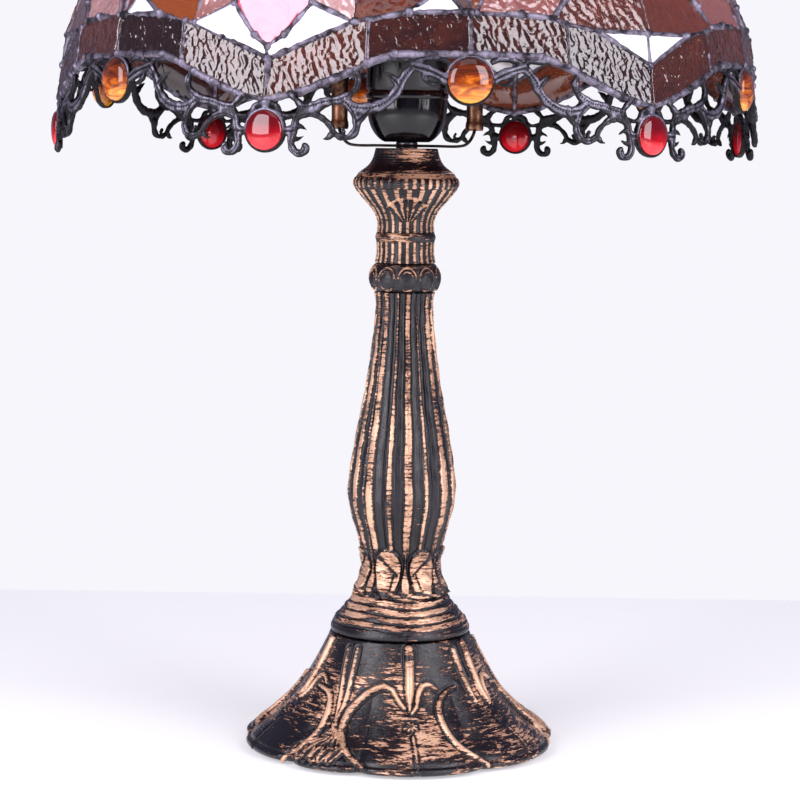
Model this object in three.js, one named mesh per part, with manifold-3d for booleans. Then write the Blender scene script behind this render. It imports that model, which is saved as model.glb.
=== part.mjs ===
// A leaded-glass table lamp: a cast stem on a weighted foot, a harp with two lock ferrules,
// a lamp holder with its bulb, and a domed shade of six glass gores with a jewelled filigree skirt.
// Millimetres, +Z up, origin at the middle of the underside. Front is -Y.
import * as THREE from "three";
import { mergeVertices } from "three/addons/utils/BufferGeometryUtils.js";
import Module from "manifold-3d";

const wasm = await Module();
wasm.setup();

// ---- Driving dimensions -----------------------------------------------------------------
const LAMP_HEIGHT = 457.2;
const GAP = 0.3; // air between pieces that touch on the real lamp

const FOOT_RADIUS = 69;
const FOOT_TOP = 47;
const FOOT_WALL = 3.2;
const FOOT_RIM_Z = 0.8;
const LOBE_EDGES_DEG = [-88, -44, -15.5, 33, 86, 118, 156, 204, 240, 272];
const LOBE_DEPTH = 0.055;
const PAD_THICKNESS = 1.5;
const PAD_RADIUS = 59;
const CORD_EXIT_Z = 9;
const CORD_BORE = 3.3;

const SHOULDER_TOP = 67.7;
const COLUMN_TOP = 202;
const COLLAR_TOP = 214.6;
const NECK_TOP = 254;
const CAP_TOP = 264.8;
const FLUTES = 16;

const ROD_RADIUS = 4.85;
const ROD_BORE = 3.2;
const ROD_HOLE = 5.2;
const ROD_BOTTOM = 28;
const ROD_TOP = 273;

const HARP_HALF = 29.5;
const HARP_WIRE = 1.7;
const SADDLE_TOP_Z = 283;
const SADDLE_THICKNESS = 1.6;
const HARP_TOP_Z = 416.3;
const FERRULE_LOW = 272.5;
const FERRULE_HIGH = 297;

const SOCKET_LOW = 267.2;
const SOCKET_JOINT = 286;
const SOCKET_HIGH = 322;
const SOCKET_RADIUS = 18;
const BULB_RADIUS = 23.5;
const BULB_TOP = 378;

const SECTORS = 6;
const SECTOR = Math.PI / 3;
const FIRST_POINT = THREE.MathUtils.degToRad(-21); // the point of the hem nearest the front
const DOME_RADIUS = 149;
const DOME_RISE = 136;
const DOME_BASE_Z = 284;
const GLASS_THICKNESS = 2.6;
const CROWN_RADIUS = 22.6;
const HEM_LOW = 282.6; // the hem at its points
const HEM_RISE = 19.2; // how far it climbs between two points
const HEM_SLOPE = THREE.MathUtils.degToRad(22); // the angle over which it climbs
const CAME_HALF = 1.2;
const CAME_THICKNESS = 4;
const SKIRT_RADIUS = 151;
const SKIRT_FLARE = 0.115;
const RED_Z = 270.8;
const RED_RADIUS = 7.3;
const AMBER_Z = 290.2;
const AMBER_RADIUS = 8;
const BEZEL_WALL = 1.6;
const JEWEL_GAP = 0.3;
const JEWEL_SIDES = 10;
const CAP_RADIUS = 36;
const STUD_RADIUS = 3.1;
const STUD_TOP = 433;

// ---- Finishes ---------------------------------------------------------------------------
const finish = (color, roughness, metalness, extra = {}) =>
  new THREE.MeshStandardMaterial({ color, roughness, metalness, ...extra });
const BRONZE = finish(0x4a3630, 0.45, 0.8);
const PEWTER = finish(0x4c4a50, 0.5, 0.8);
const STEEL = finish(0xa9a9ad, 0.35, 1);
const IRON = finish(0x3b3a3a, 0.8, 0.6);
const BRASS = finish(0xb8893f, 0.35, 1);
const HARP_BRONZE = finish(0x6d4b36, 0.4, 0.9);
const PHENOLIC = finish(0x111013, 0.15, 0);
const PORCELAIN = finish(0xe6e2d8, 0.4, 0);
const RUBBER = finish(0x1a1a1a, 0.7, 0);
const FELT = finish(0x1f1d1e, 0.95, 0);
const AMBER_GLASS = finish(0x6e2f1c, 0.15, 0, { transparent: true, opacity: 0.85 });
const OPAL_GLASS = finish(0xf3ede2, 0.3, 0, { transparent: true, opacity: 0.8 });
const RED_JEWEL = finish(0xb8102a, 0.05, 0);
const HONEY_JEWEL = finish(0xb86a1c, 0.05, 0);

// ---- Shape helpers ----------------------------------------------------------------------
// Turns a profile of [radius, height] pairs about the Z axis, from the bottom up on the outside.
function turned(profile, segments = 24) {
  const points = profile.map(([r, z]) => new THREE.Vector2(r, z));
  return new THREE.LatheGeometry(points, segments).rotateX(Math.PI / 2);
}

// A wall of revolution that closes on itself: up the outside, then down the inside.
function ring(outside, inside, segments = 24) {
  return turned([...outside, ...[...inside].reverse(), outside[0]], segments);
}

// Evenly spaced [radius, height] pairs on a smooth curve through a few points.
function smooth(points, count) {
  const curve = new THREE.SplineCurve(points.map(([r, z]) => new THREE.Vector2(r, z)));
  return curve.getPoints(count).map((p) => [p.x, p.y]);
}

// Scales each vertex's distance from the Z axis by factor(angle, z); angle 0 is the front.
function scaleRadius(geometry, factor) {
  const p = geometry.attributes.position;
  for (let i = 0; i < p.count; i++) {
    const k = factor(Math.atan2(p.getX(i), -p.getY(i)), p.getZ(i));
    p.setXY(i, p.getX(i) * k, p.getY(i) * k);
  }
  return geometry;
}

// A unit box whose grid is carried onto a surface by place(u, v, w), each from 0 to 1.
function bentPlate(columns, rows, place) {
  const geometry = new THREE.BoxGeometry(1, 1, 1, columns, rows, 1);
  const p = geometry.attributes.position;
  for (let i = 0; i < p.count; i++) {
    const at = place(p.getX(i) + 0.5, p.getY(i) + 0.5, p.getZ(i) + 0.5);
    p.setXYZ(i, at.x, at.y, at.z);
  }
  return geometry;
}

// A round or square bar swept along a smooth curve through the points.
function bar(points, radius, sides, steps) {
  const section = new THREE.Shape();
  for (let i = 0; i < sides; i++) {
    const a = ((i + 0.5) / sides) * 2 * Math.PI;
    if (i === 0) section.moveTo(radius * Math.cos(a), radius * Math.sin(a));
    else section.lineTo(radius * Math.cos(a), radius * Math.sin(a));
  }
  section.closePath();
  const extrudePath = new THREE.CatmullRomCurve3(points);
  return new THREE.ExtrudeGeometry(section, { steps, extrudePath, bevelEnabled: false });
}

function toSolid(geometry) {
  const bare = geometry.clone();
  bare.deleteAttribute("normal");
  bare.deleteAttribute("uv");
  const merged = mergeVertices(bare, 1e-4);
  return new wasm.Manifold(
    new wasm.Mesh({
      numProp: 3,
      vertProperties: merged.attributes.position.array,
      triVerts: new Uint32Array(merged.index.array),
    }),
  );
}

function toGeometry(solid) {
  const mesh = solid.getMesh();
  const geometry = new THREE.BufferGeometry();
  geometry.setAttribute("position", new THREE.BufferAttribute(mesh.vertProperties.slice(), 3));
  geometry.setIndex(new THREE.BufferAttribute(mesh.triVerts.slice(), 1));
  geometry.computeVertexNormals();
  return geometry;
}

const join = (...parts) => toGeometry(parts.map(toSolid).reduce((a, b) => a.add(b)));
const cut = (part, ...tools) =>
  toGeometry(tools.map(toSolid).reduce((a, b) => a.subtract(b), toSolid(part)));

// A plain cylinder along Z between two heights.
function rod(radius, low, high, segments = 16) {
  const length = high - low;
  const geometry = new THREE.CylinderGeometry(radius, radius, length, segments);
  return geometry.rotateX(Math.PI / 2).translate(0, 0, low + length / 2);
}

function washer(inner, outer, low, high, segments = 16) {
  return ring([[outer, low], [outer, high]], [[inner, low], [inner, high]], segments);
}

// ---- The foot ---------------------------------------------------------------------------
// 0 in the middle of a lobe and 1 where two lobes meet.
function lobeEdge(angle) {
  const full = 2 * Math.PI;
  const first = THREE.MathUtils.degToRad(LOBE_EDGES_DEG[0]);
  const a = THREE.MathUtils.radToDeg(first + ((((angle - first) % full) + full) % full));
  const i = Math.max(0, LOBE_EDGES_DEG.findLastIndex((edge) => edge <= a + 1e-6));
  const span = (LOBE_EDGES_DEG[i + 1] ?? 272) - LOBE_EDGES_DEG[i];
  const t = span > 0 ? (a - LOBE_EDGES_DEG[i]) / span : 0;
  return Math.pow(Math.abs(2 * t - 1), 4);
}

function lobed(geometry) {
  const fade = (z) => THREE.MathUtils.clamp((34 - z) / 30, 0, 1);
  return scaleRadius(geometry, (a, z) => 1 - LOBE_DEPTH * fade(z) * lobeEdge(a));
}

function footCasting() {
  const outside = smooth(
    [[FOOT_RADIUS, 4.4], [64.4, 10], [57, 15.5], [48, 25.5], [41.6, 37.4], [34.6, FOOT_TOP]], 6);
  const inside = smooth(
    [[FOOT_RADIUS - FOOT_WALL, 4.4], [53.4, 15.5], [44.6, 25.5], [36, FOOT_TOP - FOOT_WALL]], 3);
  const shell = ring(
    [[FOOT_RADIUS - 0.8, FOOT_RIM_Z], ...outside, [ROD_HOLE, FOOT_TOP]],
    [[FOOT_RADIUS - FOOT_WALL, FOOT_RIM_Z], ...inside, [ROD_HOLE, FOOT_TOP - FOOT_WALL]],
    36,
  );
  const cordHole = rod(CORD_BORE + 2, 0, 30).rotateX(-Math.PI / 2).translate(0, 45, CORD_EXIT_Z);
  return cut(lobed(shell), cordHole);
}

// Cast iron set in the hollow of the foot, with a channel at the back for the lead.
function ballastWeight() {
  const low = PAD_THICKNESS + GAP;
  const block = ring(
    [[51, low], [49, 8], [43, 15], [38, 22]],
    [[16, low], [16, 22]],
    24,
  );
  const channel = new THREE.BoxGeometry(16, 60, 18).translate(0, 40, 11);
  return cut(block, channel);
}

// Rubber sleeve through the back of the foot, where the lead comes out.
function cordBushing() {
  const outside = [[CORD_BORE + 1.6, 51], [CORD_BORE + 1.6, 69.8], [7, 69.8], [7, 71.6], [5.6, 72.6]];
  const inside = [[CORD_BORE, 51], [CORD_BORE, 72.6]];
  return ring(outside, inside, 16).rotateX(-Math.PI / 2).translate(0, 0, CORD_EXIT_Z);
}

// ---- The stem ---------------------------------------------------------------------------
// Narrow ribs with wide hollows between them, fading out at both ends.
function fluted(geometry, low, high, depth) {
  return scaleRadius(geometry, (a, z) => {
    const t = THREE.MathUtils.clamp((z - low) / (high - low), 0, 1);
    const fade = Math.sin(Math.PI * t) ** 0.5 || 0;
    return 1 - depth * fade * (0.5 + 0.5 * Math.cos(FLUTES * a));
  });
}

// Stepped rings that close the foot; hollow below.
function footShoulder() {
  const outside = [
    [33.6, FOOT_TOP + GAP], [34.2, 48.6], [31, 50.2], [30.4, 53.6], [28.4, 56.2],
    [26, 59.2], [23.6, 62.4], [21.4, 65.4], [20.4, SHOULDER_TOP - GAP],
  ];
  const inside = [
    [30, FOOT_TOP + GAP], [17.5, SHOULDER_TOP - 4], [ROD_HOLE, SHOULDER_TOP - 4],
    [ROD_HOLE, SHOULDER_TOP - GAP],
  ];
  return ring(outside, inside, 24);
}

// The fluted baluster, a hollow casting that the rod passes through.
function columnCasting() {
  const outside = smooth([
    [20.2, SHOULDER_TOP], [16, 81], [19.6, 94.5], [23.7, 113], [20.6, 137.5],
    [16.2, 161], [13, 185.5], [12.3, 196], [13, COLUMN_TOP - GAP],
  ], 10);
  const inside = [
    [ROD_HOLE, SHOULDER_TOP], [ROD_HOLE, 71], [12, 76], [18, 108], [11.5, 161], [8.4, 196],
    [ROD_HOLE, 199], [ROD_HOLE, COLUMN_TOP - GAP],
  ];
  return fluted(ring(outside, inside, 2 * FLUTES), 78, 200, 0.06);
}

function beadCollar() {
  const outside = smooth([[13, COLUMN_TOP], [15.3, 208], [13.2, COLLAR_TOP - GAP]], 4);
  const inside = [[ROD_HOLE, COLUMN_TOP], [ROD_HOLE, COLLAR_TOP - GAP]];
  return ring(outside, inside, 20);
}

function neckCasting() {
  const outside = smooth([
    [13, COLLAR_TOP], [12.3, 219], [12.9, 225], [11.9, 232], [16.7, 241],
    [22, 246.6], [23, 249.4], [21, NECK_TOP - GAP],
  ], 9);
  const inside = [[ROD_HOLE, COLLAR_TOP], [ROD_HOLE, NECK_TOP - GAP]];
  return fluted(ring(outside, inside, 2 * FLUTES), 215, 250, 0.05);
}

function neckCap() {
  const outside = smooth([[20.6, NECK_TOP], [16.6, 257], [14.4, 261], [13.3, CAP_TOP - GAP]], 4);
  const inside = [[ROD_HOLE, NECK_TOP], [ROD_HOLE, CAP_TOP - GAP]];
  return ring(outside, inside, 20);
}

// ---- The clamping rod -------------------------------------------------------------------
function hexNut(low, high) {
  return cut(rod(8.6, low, high, 6), rod(ROD_HOLE, low - 1, high + 1));
}

// ---- The harp and its saddle ------------------------------------------------------------
// A folded strip: flat under the lamp holder, turned up at both ends into narrow posts.
function harpSaddle() {
  const t = SADDLE_THICKNESS;
  const low = CAP_TOP;
  const bend = 7;
  const outer = HARP_HALF + t / 2;
  const inner = HARP_HALF - t / 2;
  const section = new THREE.Shape();
  section.moveTo(-outer, SADDLE_TOP_Z);
  section.lineTo(-outer, low + bend);
  section.quadraticCurveTo(-outer, low, -outer + bend, low);
  section.lineTo(outer - bend, low);
  section.quadraticCurveTo(outer, low, outer, low + bend);
  section.lineTo(outer, SADDLE_TOP_Z);
  section.lineTo(inner, SADDLE_TOP_Z);
  section.lineTo(inner, low + bend);
  section.quadraticCurveTo(inner, low + t, inner - bend + t, low + t);
  section.lineTo(-inner + bend - t, low + t);
  section.quadraticCurveTo(-inner, low + t, -inner, low + bend);
  section.lineTo(-inner, SADDLE_TOP_Z);
  section.closePath();
  const width = 11;
  const post = 4.4;
  const strip = new THREE.ExtrudeGeometry(section, { depth: width, curveSegments: 4, bevelEnabled: false });
  strip.rotateX(Math.PI / 2).translate(0, width / 2, 0);
  const trim = (x, y) => new THREE.BoxGeometry(8, 5, 20).translate(x, y, low + bend + 10);
  const offset = post / 2 + 2.5;
  const trims = [-1, 1].flatMap((sx) => [-1, 1].map((sy) => trim(sx * HARP_HALF, sy * offset)));
  return cut(strip, rod(ROD_HOLE, low - 1, low + 3), ...trims);
}

function harp() {
  const half = [
    [HARP_HALF, SADDLE_TOP_Z + 0.5], [HARP_HALF, 296], [HARP_HALF + 0.2, 309],
    [40, 327], [47.5, 350], [47, 372], [37, 396], [20, 411.5],
  ];
  const points = [
    ...half.map(([x, z]) => new THREE.Vector3(-x, 0, z)),
    new THREE.Vector3(0, 0, HARP_TOP_Z),
    ...half.reverse().map(([x, z]) => new THREE.Vector3(x, 0, z)),
  ];
  return bar(points, HARP_WIRE, 6, 36);
}

function harpStud() {
  const low = HARP_TOP_Z + HARP_WIRE + GAP;
  return turned(
    [[0, low], [7, low], [7, low + 1.4], [STUD_RADIUS, low + 1.4], [STUD_RADIUS, STUD_TOP], [0, STUD_TOP]], 16);
}

function ferrule() {
  const outside = [[3.7, FERRULE_LOW], [4, 274], [3.5, 278], [3.9, 292], [4.1, 295], [3.6, FERRULE_HIGH]];
  const inside = [[2.9, FERRULE_LOW], [2.9, FERRULE_HIGH]];
  return ring(outside, inside, 14);
}

// ---- The lamp holder and the bulb -------------------------------------------------------
function socketCap() {
  const high = SOCKET_JOINT - GAP;
  const outside = [[9.7, SOCKET_LOW], [12, 269], [15.6, 273.5], [17.3, 279], [17.6, high]];
  const inside = [[ROD_HOLE, SOCKET_LOW], [ROD_HOLE, 269.6], [12, 272], [15.4, 279.4], [15.8, high]];
  return ring(outside, inside, 18);
}

function socketShell() {
  const outside = [
    [17.6, SOCKET_JOINT], [SOCKET_RADIUS, 287], [SOCKET_RADIUS, 320], [17.4, SOCKET_HIGH],
  ];
  const inside = [[16.2, SOCKET_JOINT], [16.2, SOCKET_HIGH]];
  return ring(outside, inside, 20);
}

function screwShell() {
  return ring([[14, 294.3], [14, 320.5]], [[13.4, 294.3], [13.4, 320.5]], 20);
}

// Blown glass, open at the neck where the cap closes it.
function bulbGlass() {
  const neck = 322.4;
  const outside = smooth([
    [11.6, neck], [14, 329], [21, 341], [BULB_RADIUS, 353.5], [20.6, 366], [12, 375.4], [0, BULB_TOP],
  ], 9);
  outside[outside.length - 1][0] = 0;
  const inside = smooth([
    [10.8, neck], [13.2, 329], [20.2, 341], [BULB_RADIUS - 0.9, 353.5], [19.8, 365.6], [11.4, 374.6],
    [0, BULB_TOP - 1],
  ], 7);
  inside[inside.length - 1][0] = 0;
  return turned([...inside.reverse(), ...outside], 16);
}

function bulbCap() {
  return ring([[12.2, 299.2], [12.9, 300.4], [12.9, 322]], [[4.4, 299.2], [12.2, 301], [12.2, 322]], 16);
}

// ---- The shade --------------------------------------------------------------------------
// A point of the dome: angle about Z, rise from 0 at the base to 90 degrees at the top,
// and how far it stands off the middle of the glass.
function onDome(angle, rise, off) {
  const normal = new THREE.Vector2(Math.cos(rise) / DOME_RADIUS, Math.sin(rise) / DOME_RISE).normalize();
  const r = DOME_RADIUS * Math.cos(rise) + off * normal.x;
  const z = DOME_BASE_Z + DOME_RISE * Math.sin(rise) + off * normal.y;
  return new THREE.Vector3(r * Math.sin(angle), -r * Math.cos(angle), z);
}

const riseAtRadius = (radius) => Math.acos(radius / DOME_RADIUS);

// Height of the hem at an angle measured from a point of the hem: low there, level half way.
function hemZ(angle) {
  const away = Math.abs(angle - SECTOR * Math.round(angle / SECTOR));
  return HEM_LOW + HEM_RISE * THREE.MathUtils.smoothstep(away, 0, HEM_SLOPE);
}

const riseAt = (z) => Math.asin((z - DOME_BASE_Z) / DOME_RISE);

// One sixth of the dome, from one hem point to the next.
function glassGore() {
  const edge = (CAME_HALF + GAP) / DOME_RADIUS;
  return bentPlate(6, 7, (u, v, w) => {
    const low = riseAt(hemZ(edge + (SECTOR - 2 * edge) * u) + 1.8);
    const rise = low + (riseAtRadius(CROWN_RADIUS + 2.9) - low) * v;
    const side = (CAME_HALF + GAP) / (DOME_RADIUS * Math.cos(rise));
    const angle = side + (SECTOR - 2 * side) * u;
    return onDome(angle, rise, (w - 0.5) * GLASS_THICKNESS);
  });
}

// A came rib up the dome at one hem point.
function cameRib(turn) {
  return bentPlate(1, 7, (u, v, w) => {
    const low = riseAt(HEM_LOW + 0.2);
    const rise = low + (riseAtRadius(CROWN_RADIUS + 1.2) - low) * v;
    const side = CAME_HALF / (DOME_RADIUS * Math.cos(rise));
    return onDome(turn + side * (2 * u - 1), rise, (w - 0.5) * CAME_THICKNESS);
  });
}

// The came that binds the hem of one gore, a little past both points.
function cameHem(turn) {
  const past = 0.006;
  return bentPlate(6, 1, (u, v, w) => {
    const angle = -past + (SECTOR + 2 * past) * u;
    const z = hemZ(angle) - 1.2 + 2.2 * v;
    const at = onDome(turn + angle, riseAt(Math.max(z, DOME_BASE_Z)), (w - 0.5) * CAME_THICKNESS);
    return at.setZ(z);
  });
}

function leadwork() {
  const low = 416.6;
  const crown = washer(CROWN_RADIUS, CROWN_RADIUS + 2.2, low, low + 3.6, 18);
  const cuts = [];
  for (let i = 0; i < SECTORS; i++) cuts.push(cameRib(i * SECTOR), cameHem(i * SECTOR));
  return join(crown, ...cuts);
}

// A point of the filigree skirt: arc length from the hem point, and height.
function onSkirt(along, z, off = 0) {
  const r = SKIRT_RADIUS - SKIRT_FLARE * (z - RED_Z) + off;
  const a = along / SKIRT_RADIUS;
  return new THREE.Vector3(r * Math.sin(a), -r * Math.cos(a), z);
}

// A ring or a stone of the skirt, its axis pointing outwards at an arc length and height.
function facingOut(geometry, along, z) {
  const r = SKIRT_RADIUS - SKIRT_FLARE * (z - RED_Z);
  return geometry.rotateX(Math.PI / 2).translate(0, -r, z).rotateZ(along / SKIRT_RADIUS);
}

const bezel = (radius) => washer(radius + JEWEL_GAP, radius + JEWEL_GAP + BEZEL_WALL, -1.6, 1.6, JEWEL_SIDES);
const HALF_SPAN = (SECTOR / 2) * SKIRT_RADIUS;

// Scrolls either side of a red bezel, and the amber bezel half way to the next point.
function filigree() {
  const thick = 1.7;
  const reach = HALF_SPAN - AMBER_RADIUS - BEZEL_WALL - 1;
  const scroll = (side, points) => points.map(([s, z]) => onSkirt(side * s, z));
  const rail = [];
  for (let i = -5; i <= 5; i++) {
    const s = (i / 5) * (reach + (i === 5 ? 1 : -1));
    const drop = 3.2 + Math.min(1, Math.abs(s) / 20);
    rail.push(onSkirt(s, hemZ(s / SKIRT_RADIUS) - drop));
  }
  const arm = [[8, 268], [19, 263.5], [30, 264], [41, 272], [52, 279], [62, 284], [reach - 1, 288]];
  const curl = [[26, 263.6], [33, 270], [29, 277], [20, 279.6], [13, 281]];
  const parts = [facingOut(bezel(RED_RADIUS), 0, RED_Z), facingOut(bezel(AMBER_RADIUS), HALF_SPAN, AMBER_Z)];
  parts.push(bar(rail, thick, 4, 12), bar([onSkirt(0, 278.6), onSkirt(0, 280.6)], thick, 4, 1));
  for (const side of [-1, 1]) {
    const points = side > 0 ? [...arm.slice(0, -1), [reach + 1.5, 288.5]] : arm;
    parts.push(bar(scroll(side, points), thick, 4, 7), bar(scroll(side, curl), thick, 4, 5));
  }
  return join(...parts);
}

// A domed glass stone with a flat back.
function cabochon(radius, height) {
  const dome = smooth([[radius, 0.9], [radius * 0.72, height * 0.78], [0, height]], 3);
  dome[dome.length - 1][0] = 0;
  return turned([[0, -1.2], [radius, -1.2], ...dome], JEWEL_SIDES);
}

const redCabochon = () => facingOut(cabochon(RED_RADIUS, 2.9), 0, RED_Z);
const amberCabochon = () => facingOut(cabochon(AMBER_RADIUS, 4.2), HALF_SPAN, AMBER_Z);

function crownRing() {
  return washer(19.6, CROWN_RADIUS - 0.5, 415.6, 420.2, 24);
}

// Spun brass cap over the crown, with a hole for the stud.
function vaseCap() {
  const low = HARP_TOP_Z + HARP_WIRE + GAP + 3.4;
  const outside = [[CAP_RADIUS, 418.6], [CAP_RADIUS, 420], [30, 421.8], [24, 423.4], [14, 423.2], [3.6, 423.2]];
  const inside = [[CAP_RADIUS - 1.4, 418.6], [29.6, 420.4], [24, low], [14, low], [3.6, low]];
  return ring(outside, inside, 20);
}

function crownWasher() {
  const low = HARP_TOP_Z + HARP_WIRE + GAP + 1.4 + GAP;
  return washer(3.6, 10, low, low + 1.2, 18);
}

// A turned vase with a pointed tip, tapped for the stud.
function finial() {
  const low = 423.2 + GAP;
  const body = smooth([
    [4.6, 428], [5, 430.5], [9, 437], [9.2, 442], [5, 448], [2.6, 451], [2.4, 453.6], [0, LAMP_HEIGHT],
  ], 9);
  body[body.length - 1][0] = 0;
  return turned([
    [0, STUD_TOP + 1.5], [STUD_RADIUS + 0.3, STUD_TOP + 1.5], [STUD_RADIUS + 0.3, low], [8.4, low],
    [8.4, 425], [6, 426.4], ...body,
  ], 16);
}

// ---- The lamp ---------------------------------------------------------------------------
const lamp = new THREE.Group();

function add(name, geometry, material, turn = 0) {
  const mesh = new THREE.Mesh(geometry, material);
  mesh.name = name;
  mesh.rotation.z = turn;
  lamp.add(mesh);
}

add("base_pad", rod(PAD_RADIUS, 0, PAD_THICKNESS, 36), FELT);
add("foot_casting", footCasting(), BRONZE);
add("ballast_weight", ballastWeight(), IRON);
add("cord_bushing", cordBushing(), RUBBER);
add("foot_shoulder", footShoulder(), BRONZE);
add("column_casting", columnCasting(), BRONZE);
add("bead_collar", beadCollar(), BRONZE);
add("neck_casting", neckCasting(), BRONZE);
add("neck_cap", neckCap(), BRONZE);
add("threaded_rod", washer(ROD_BORE, ROD_RADIUS, ROD_BOTTOM, ROD_TOP, 12), STEEL);
add("base_washer", washer(ROD_HOLE, 15, 41.4, 43.4), STEEL);
add("lock_washer", washer(ROD_HOLE, 9.4, 39.6, 41.1), STEEL);
add("rod_nut", hexNut(33, 39.3), STEEL);
add("harp_saddle", harpSaddle(), HARP_BRONZE);
add("harp", harp(), HARP_BRONZE);
add("harp_stud", harpStud(), BRASS);
for (const [side, x] of [["left", -HARP_HALF], ["right", HARP_HALF]]) {
  add("harp_ferrule_" + side, ferrule().translate(x, 0, 0), HARP_BRONZE);
  add("terminal_screw_" + side, rod(2.6, 282.8, 286.2, 10).translate(x / 3, 0, 0), BRASS);
}
add("socket_cap", socketCap(), PHENOLIC);
add("socket_shell", socketShell(), PHENOLIC);
add("socket_core", washer(2, 15.6, 286.5, 294, 20), PORCELAIN);
add("screw_shell", screwShell(), BRASS);
add("centre_contact", rod(3, 294.3, 297, 12), BRASS);
add("bulb_glass", bulbGlass(), OPAL_GLASS);
add("bulb_cap", bulbCap(), BRASS);
add("bulb_contact", rod(3.6, 297.3, 300.4, 12), STEEL);

add("leadwork", leadwork(), PEWTER, FIRST_POINT);
for (let i = 0; i < SECTORS; i++) {
  const turn = FIRST_POINT + i * SECTOR;
  const number = i + 1;
  add("glass_gore_" + number, glassGore(), AMBER_GLASS, turn);
  add("filigree_" + number, filigree(), PEWTER, turn);
  add("red_cabochon_" + number, redCabochon(), RED_JEWEL, turn);
  add("amber_cabochon_" + number, amberCabochon(), HONEY_JEWEL, turn);
}
add("crown_ring", crownRing(), BRASS);
add("vase_cap", vaseCap(), BRONZE);
add("crown_washer", crownWasher(), STEEL);
add("finial", finial(), BRONZE);

export default lamp;
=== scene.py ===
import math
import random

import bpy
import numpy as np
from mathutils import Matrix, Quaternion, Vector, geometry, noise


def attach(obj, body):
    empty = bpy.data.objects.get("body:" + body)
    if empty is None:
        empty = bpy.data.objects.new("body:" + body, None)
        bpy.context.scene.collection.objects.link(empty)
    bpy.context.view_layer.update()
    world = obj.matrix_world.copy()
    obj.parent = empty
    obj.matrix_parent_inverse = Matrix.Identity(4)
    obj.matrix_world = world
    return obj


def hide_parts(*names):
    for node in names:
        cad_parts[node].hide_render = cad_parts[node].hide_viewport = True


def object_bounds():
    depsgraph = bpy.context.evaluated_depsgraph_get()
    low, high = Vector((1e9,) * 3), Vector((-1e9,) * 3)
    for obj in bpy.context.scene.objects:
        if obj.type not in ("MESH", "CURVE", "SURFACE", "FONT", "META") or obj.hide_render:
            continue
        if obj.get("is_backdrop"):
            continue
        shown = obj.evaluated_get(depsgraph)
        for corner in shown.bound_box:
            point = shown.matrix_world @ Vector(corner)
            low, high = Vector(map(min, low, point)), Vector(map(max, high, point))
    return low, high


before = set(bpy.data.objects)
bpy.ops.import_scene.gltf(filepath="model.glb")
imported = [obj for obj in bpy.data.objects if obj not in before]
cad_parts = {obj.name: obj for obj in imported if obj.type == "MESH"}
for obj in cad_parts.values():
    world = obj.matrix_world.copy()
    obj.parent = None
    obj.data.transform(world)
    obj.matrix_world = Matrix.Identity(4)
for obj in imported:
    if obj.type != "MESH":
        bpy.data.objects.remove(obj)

# %% [markdown]
# # A leaded-glass table lamp
# The lamp has a cast stem with copper brushed over black, a domed shade of stained glass held in lead
# came, and a jewelled openwork skirt round the shade's hem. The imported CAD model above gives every
# place and size. This lesson builds the surfaces that the eye sees around it, one piece at a time.
# Lengths are written in millimetres and turned into Blender's metres in one place.

cad_low, cad_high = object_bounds()
MM = 0.001
DICE = random.Random(7)
print("CAD box", [round((b - a) / MM, 1) for a, b in zip(cad_low, cad_high)], "mm")

# %% [markdown]
# ## Shader arithmetic
# A finish is a small program that Cycles runs at every point of a surface. Written as nodes it is hard
# to read, so this class lets a socket be used like a number: `streaks * 0.5 + 1` adds two Math nodes.
# Everything that isn't plain arithmetic goes through one method, `node`.

# %% A socket that can be calculated with
class Wire:
    """A shader socket in an expression. The first one of a material has no socket, only the tree."""

    def __init__(self, tree, socket=None):
        self.tree = tree
        self.socket = socket

    def node(self, kind, settings, inputs, output=0):
        made = self.tree.nodes.new("ShaderNode" + kind)
        for name, value in settings.items():
            if name == "stops":
                set_stops(made.color_ramp, value)
            else:
                setattr(made, name, value)
        for name, value in inputs.items():
            if isinstance(value, Wire):
                self.tree.links.new(value.socket, made.inputs[name])
            else:
                made.inputs[name].default_value = value
        return Wire(self.tree, made.outputs[output])

    def math(self, operation, first, second):
        return self.node("Math", {"operation": operation}, {0: first, 1: second})

    def __add__(self, other):
        return self.math("ADD", self, other)

    def __radd__(self, other):
        return self.math("ADD", other, self)

    def __sub__(self, other):
        return self.math("SUBTRACT", self, other)

    def __rsub__(self, other):
        return self.math("SUBTRACT", other, self)

    def __mul__(self, other):
        return self.math("MULTIPLY", self, other)


def set_stops(ramp, stops):
    """Gives a colour ramp its (position, colour) stops."""
    while len(ramp.elements) < len(stops):
        ramp.elements.new(1.0)
    for element, (position, colour) in zip(ramp.elements, stops):
        element.position = position
        element.color = rgba(colour)


def rgba(colour):
    """A colour given as 0-255 screen values, in the linear values that shaders use."""
    return [linear(c / 255) for c in colour] + [1.0]


def linear(c):
    return c / 12.92 if c <= 0.04045 else ((c + 0.055) / 1.055) ** 2.4


print("screen grey 128 is", round(linear(128 / 255), 3), "for a shader")

# %% [markdown]
# A finish has two halves. Numbers that are the same all over go straight onto the shader's sockets.
# What varies over the surface, such as colour or roughness, is a Wire made by a short function.

# %% Finishes and the patterns they share
def make_finish(name, plain, pattern):
    """A material from plain socket values and pattern(start), which returns {socket: Wire}."""
    material = bpy.data.materials.new(name)
    material.use_nodes = True
    tree = material.node_tree
    shader = next(n for n in tree.nodes if n.type == "BSDF_PRINCIPLED")
    for socket, value in plain.items():
        shader.inputs[socket].default_value = value
    for socket, wire in pattern(Wire(tree)).items():
        tree.links.new(wire.socket, shader.inputs[socket])
    return material


def place(start, stretch=(1, 1, 1)):
    """The point of the surface in the object's own metres. Above 1, a stretch makes patterns finer."""
    point = start.node("TexCoord", {}, {}, "Object")
    return start.node("VectorMath", {"operation": "MULTIPLY"}, {0: point, 1: stretch})


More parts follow.
